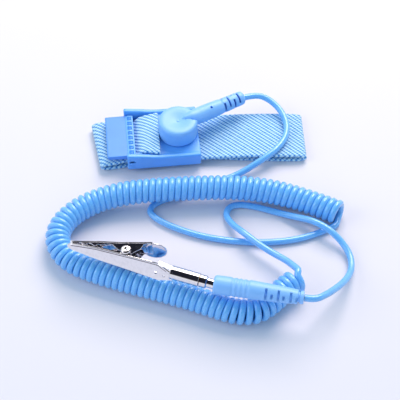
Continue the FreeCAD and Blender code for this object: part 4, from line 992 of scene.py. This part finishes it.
# %% Rivet
rivet_frame = clip_frame @ Matrix.Translation(mm(-28.3, 1.7, 0)) @ UPRIGHT
bm = bmesh.new()
turned(bm, ((-3.9, 0), (-3.9, 1.3), (-3.6, 1.75), (-3.25, 1.8), (-3.2, 0.95), (3.0, 0.95), (3.0, 1.8), (3.3, 1.82),
            (3.6, 1.72), (3.9, 1.4), (4.02, 1.0), (3.95, 0.62), (3.6, 0.42), (3.55, 0)), rivet_frame, 48)
show("clip_rivet_dimpled", mesh_of(bm, "rivet"), NICKEL, "clip", ("clip_rivet",))

# %% [markdown]
# ## Upper jaw and thumb pad
# The upper jaw is nested inside the lower one. Its back wall runs on past the rivet as a stem
# and ends in a dished pad for the thumb.

# %% Upper jaw
UPPER_CHEEK = (
    (-49.5, -0.1), (-46.7, 0.0), (-45.8, 0.75), (-43.9, 0.4), (-42.0, 1.3), (-40.0, 0.6), (-39.0, 1.5),
    (-38.1, 1.4), (-34.95, 2.7), (-33.75, 2.6), (-32.7, 2.0), (-31.0, 1.4), (-28.3, 0.9), (-26.0, 1.3),
    (-24.6, 2.6), (-23.5, 3.6), (-22.9, 5.6), (-21.2, 6.4), (-21.0, 6.9), (-30.9, 4.25), (-40.2, 2.3),
    (-48.8, 0.7))
BACK_WALL = ((-49.4, 0.35), (-48.8, 0.25), (-40.2, 1.85), (-30.9, 3.8), (-20.0, 6.7), (-20.1, 7.15), (-30.9, 4.3),
             (-40.2, 2.35), (-48.8, 0.75), (-49.4, 0.8))
bm = bmesh.new()
plate(bm, UPPER_CHEEK, 0.4, over(0.5))
plate(bm, UPPER_CHEEK, 0.4, under(0.5))
plate(bm, BACK_WALL, 1.0, lambda x, y, z: (x, y, (z * 2 + 1) * (rise_at(x) - 0.25) + 0.27 * (y + 0.5) * (z > -0.5)), edge=0.06)
thumb_frame = clip_frame @ Matrix.Translation(mm(-28.3, 1.7, 0)) @ Matrix.Rotation(math.radians(12.9), 4, "Z")
boxed(bm, (4.4, 2.75, -2.0), (7.2, 3.1, 2.0), thumb_frame)
pad_frame = thumb_frame @ Matrix.Translation(mm(10.1, 3.0, 0)) @ Matrix.Rotation(math.pi / 2, 4, "Z")
turned(bm, ((0.35, 0), (0.3, 1.6), (0.1, 3.1), (-0.2, 4.0), (-0.25, 4.3), (0.0, 4.4), (0.4, 3.3), (0.7, 1.7), (0.8, 0)), pad_frame, 64)
bmesh.ops.remove_doubles(bm, verts=bm.verts, dist=0.0000005)
show("clip_upper_jaw_folded", settled(mesh_of(bm, "upper_jaw")), NICKEL, "upper_jaw", ("clip_upper_jaw",))

# %% [markdown]
# ## Finishes of the plain solids that stay
# The small parts inside keep their plain solids: the pin, the snap's metal, the resistor and
# its wires, the plug's pin and springs. Each gets its own metal or lacquer. The resistor wears
# the four colour bands of one megohm, laid across the barrel's direction.

# %% Inner finishes
# The lever pin is seen only through its holes; its dark navy is painted shade for them.
PIN_SHADE = bright_metal("pin_painted_shade", (0.05, 0.12, 0.30), 0.45)
SKIN_STEEL = bright_metal("skin_steel", (0.66, 0.66, 0.68), 0.16, (1.0, 12.0, 1.0))
SNAP_METAL = bright_metal("snap_metal", (0.70, 0.66, 0.58), 0.18)
SPRING = bright_metal("spring_steel", (0.55, 0.55, 0.58), 0.22, (8.0, 1.0, 1.0))
BRASS = bright_metal("plug_brass", (0.80, 0.63, 0.34), 0.2)
SOLDER = bright_metal("solder", (0.60, 0.60, 0.62), 0.38)
COPPER = bright_metal("conductor", (0.83, 0.46, 0.32), 0.28, (1.0, 1.0, 10.0))
TIN = bright_metal("wire_tin", (0.74, 0.74, 0.75), 0.26)
lacquer = Finish("resistor_lacquer", (0.50, 0.66, 0.74), 0.3, Coat_Weight=0.4)
spot = lacquer.node("ShaderNodeTexCoord", output="Object")
pieces = lacquer.tree.nodes.new("ShaderNodeSeparateXYZ")
lacquer.tree.links.new(spot.socket, pieces.inputs[0])
heading = math.radians(25.1)
along_body = (Value(lacquer, pieces.outputs["X"]) * math.cos(heading)
              + Value(lacquer, pieces.outputs["Y"]) * math.sin(heading)) * 1000.0
body_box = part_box("resistor_body")
middle = [(low + high) / 2 for low, high in zip(*body_box)]
centre_along = (middle[0] * math.cos(heading) + middle[1] * math.sin(heading)) / MM
paint = (0.50, 0.66, 0.74)
for number, band_colour in enumerate(((0.16, 0.06, 0.03), (0.01, 0.01, 0.01), (0.05, 0.30, 0.07), (0.60, 0.42, 0.12))):
    middle_of_band = centre_along - 1.5 + number * 1.0
    away = lacquer.node("ShaderNodeMath", {"operation": "ABSOLUTE"}, {0: along_body - middle_of_band})
    paint = lacquer.blend(lacquer.span(away, 0.28, 0.22), paint, band_colour)
lacquer.set("Base Color", paint)
paints = {
    "plug_neck": NICKEL, "lever_pin": PIN_SHADE, "skin_plate": SKIN_STEEL, "snap_stud": SNAP_METAL, "anchor_block": BUCKLE,
    "snap_socket": SNAP_METAL, "snap_ring": SPRING, "resistor_body": lacquer.material, "resistor_wire_in": TIN,
    "resistor_wire_out": TIN, "snap_crimp": TIN, "snap_core": COPPER, "plug_pin": BRASS, "plug_spring": NICKEL,
    "plug_solder": SOLDER, "plug_core": COPPER, "clip_spring": SPRING}
for node, finish in paints.items():
    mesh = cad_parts[node].data
    mesh.materials.clear()
    mesh.materials.append(finish)
print("painted:", len(paints))
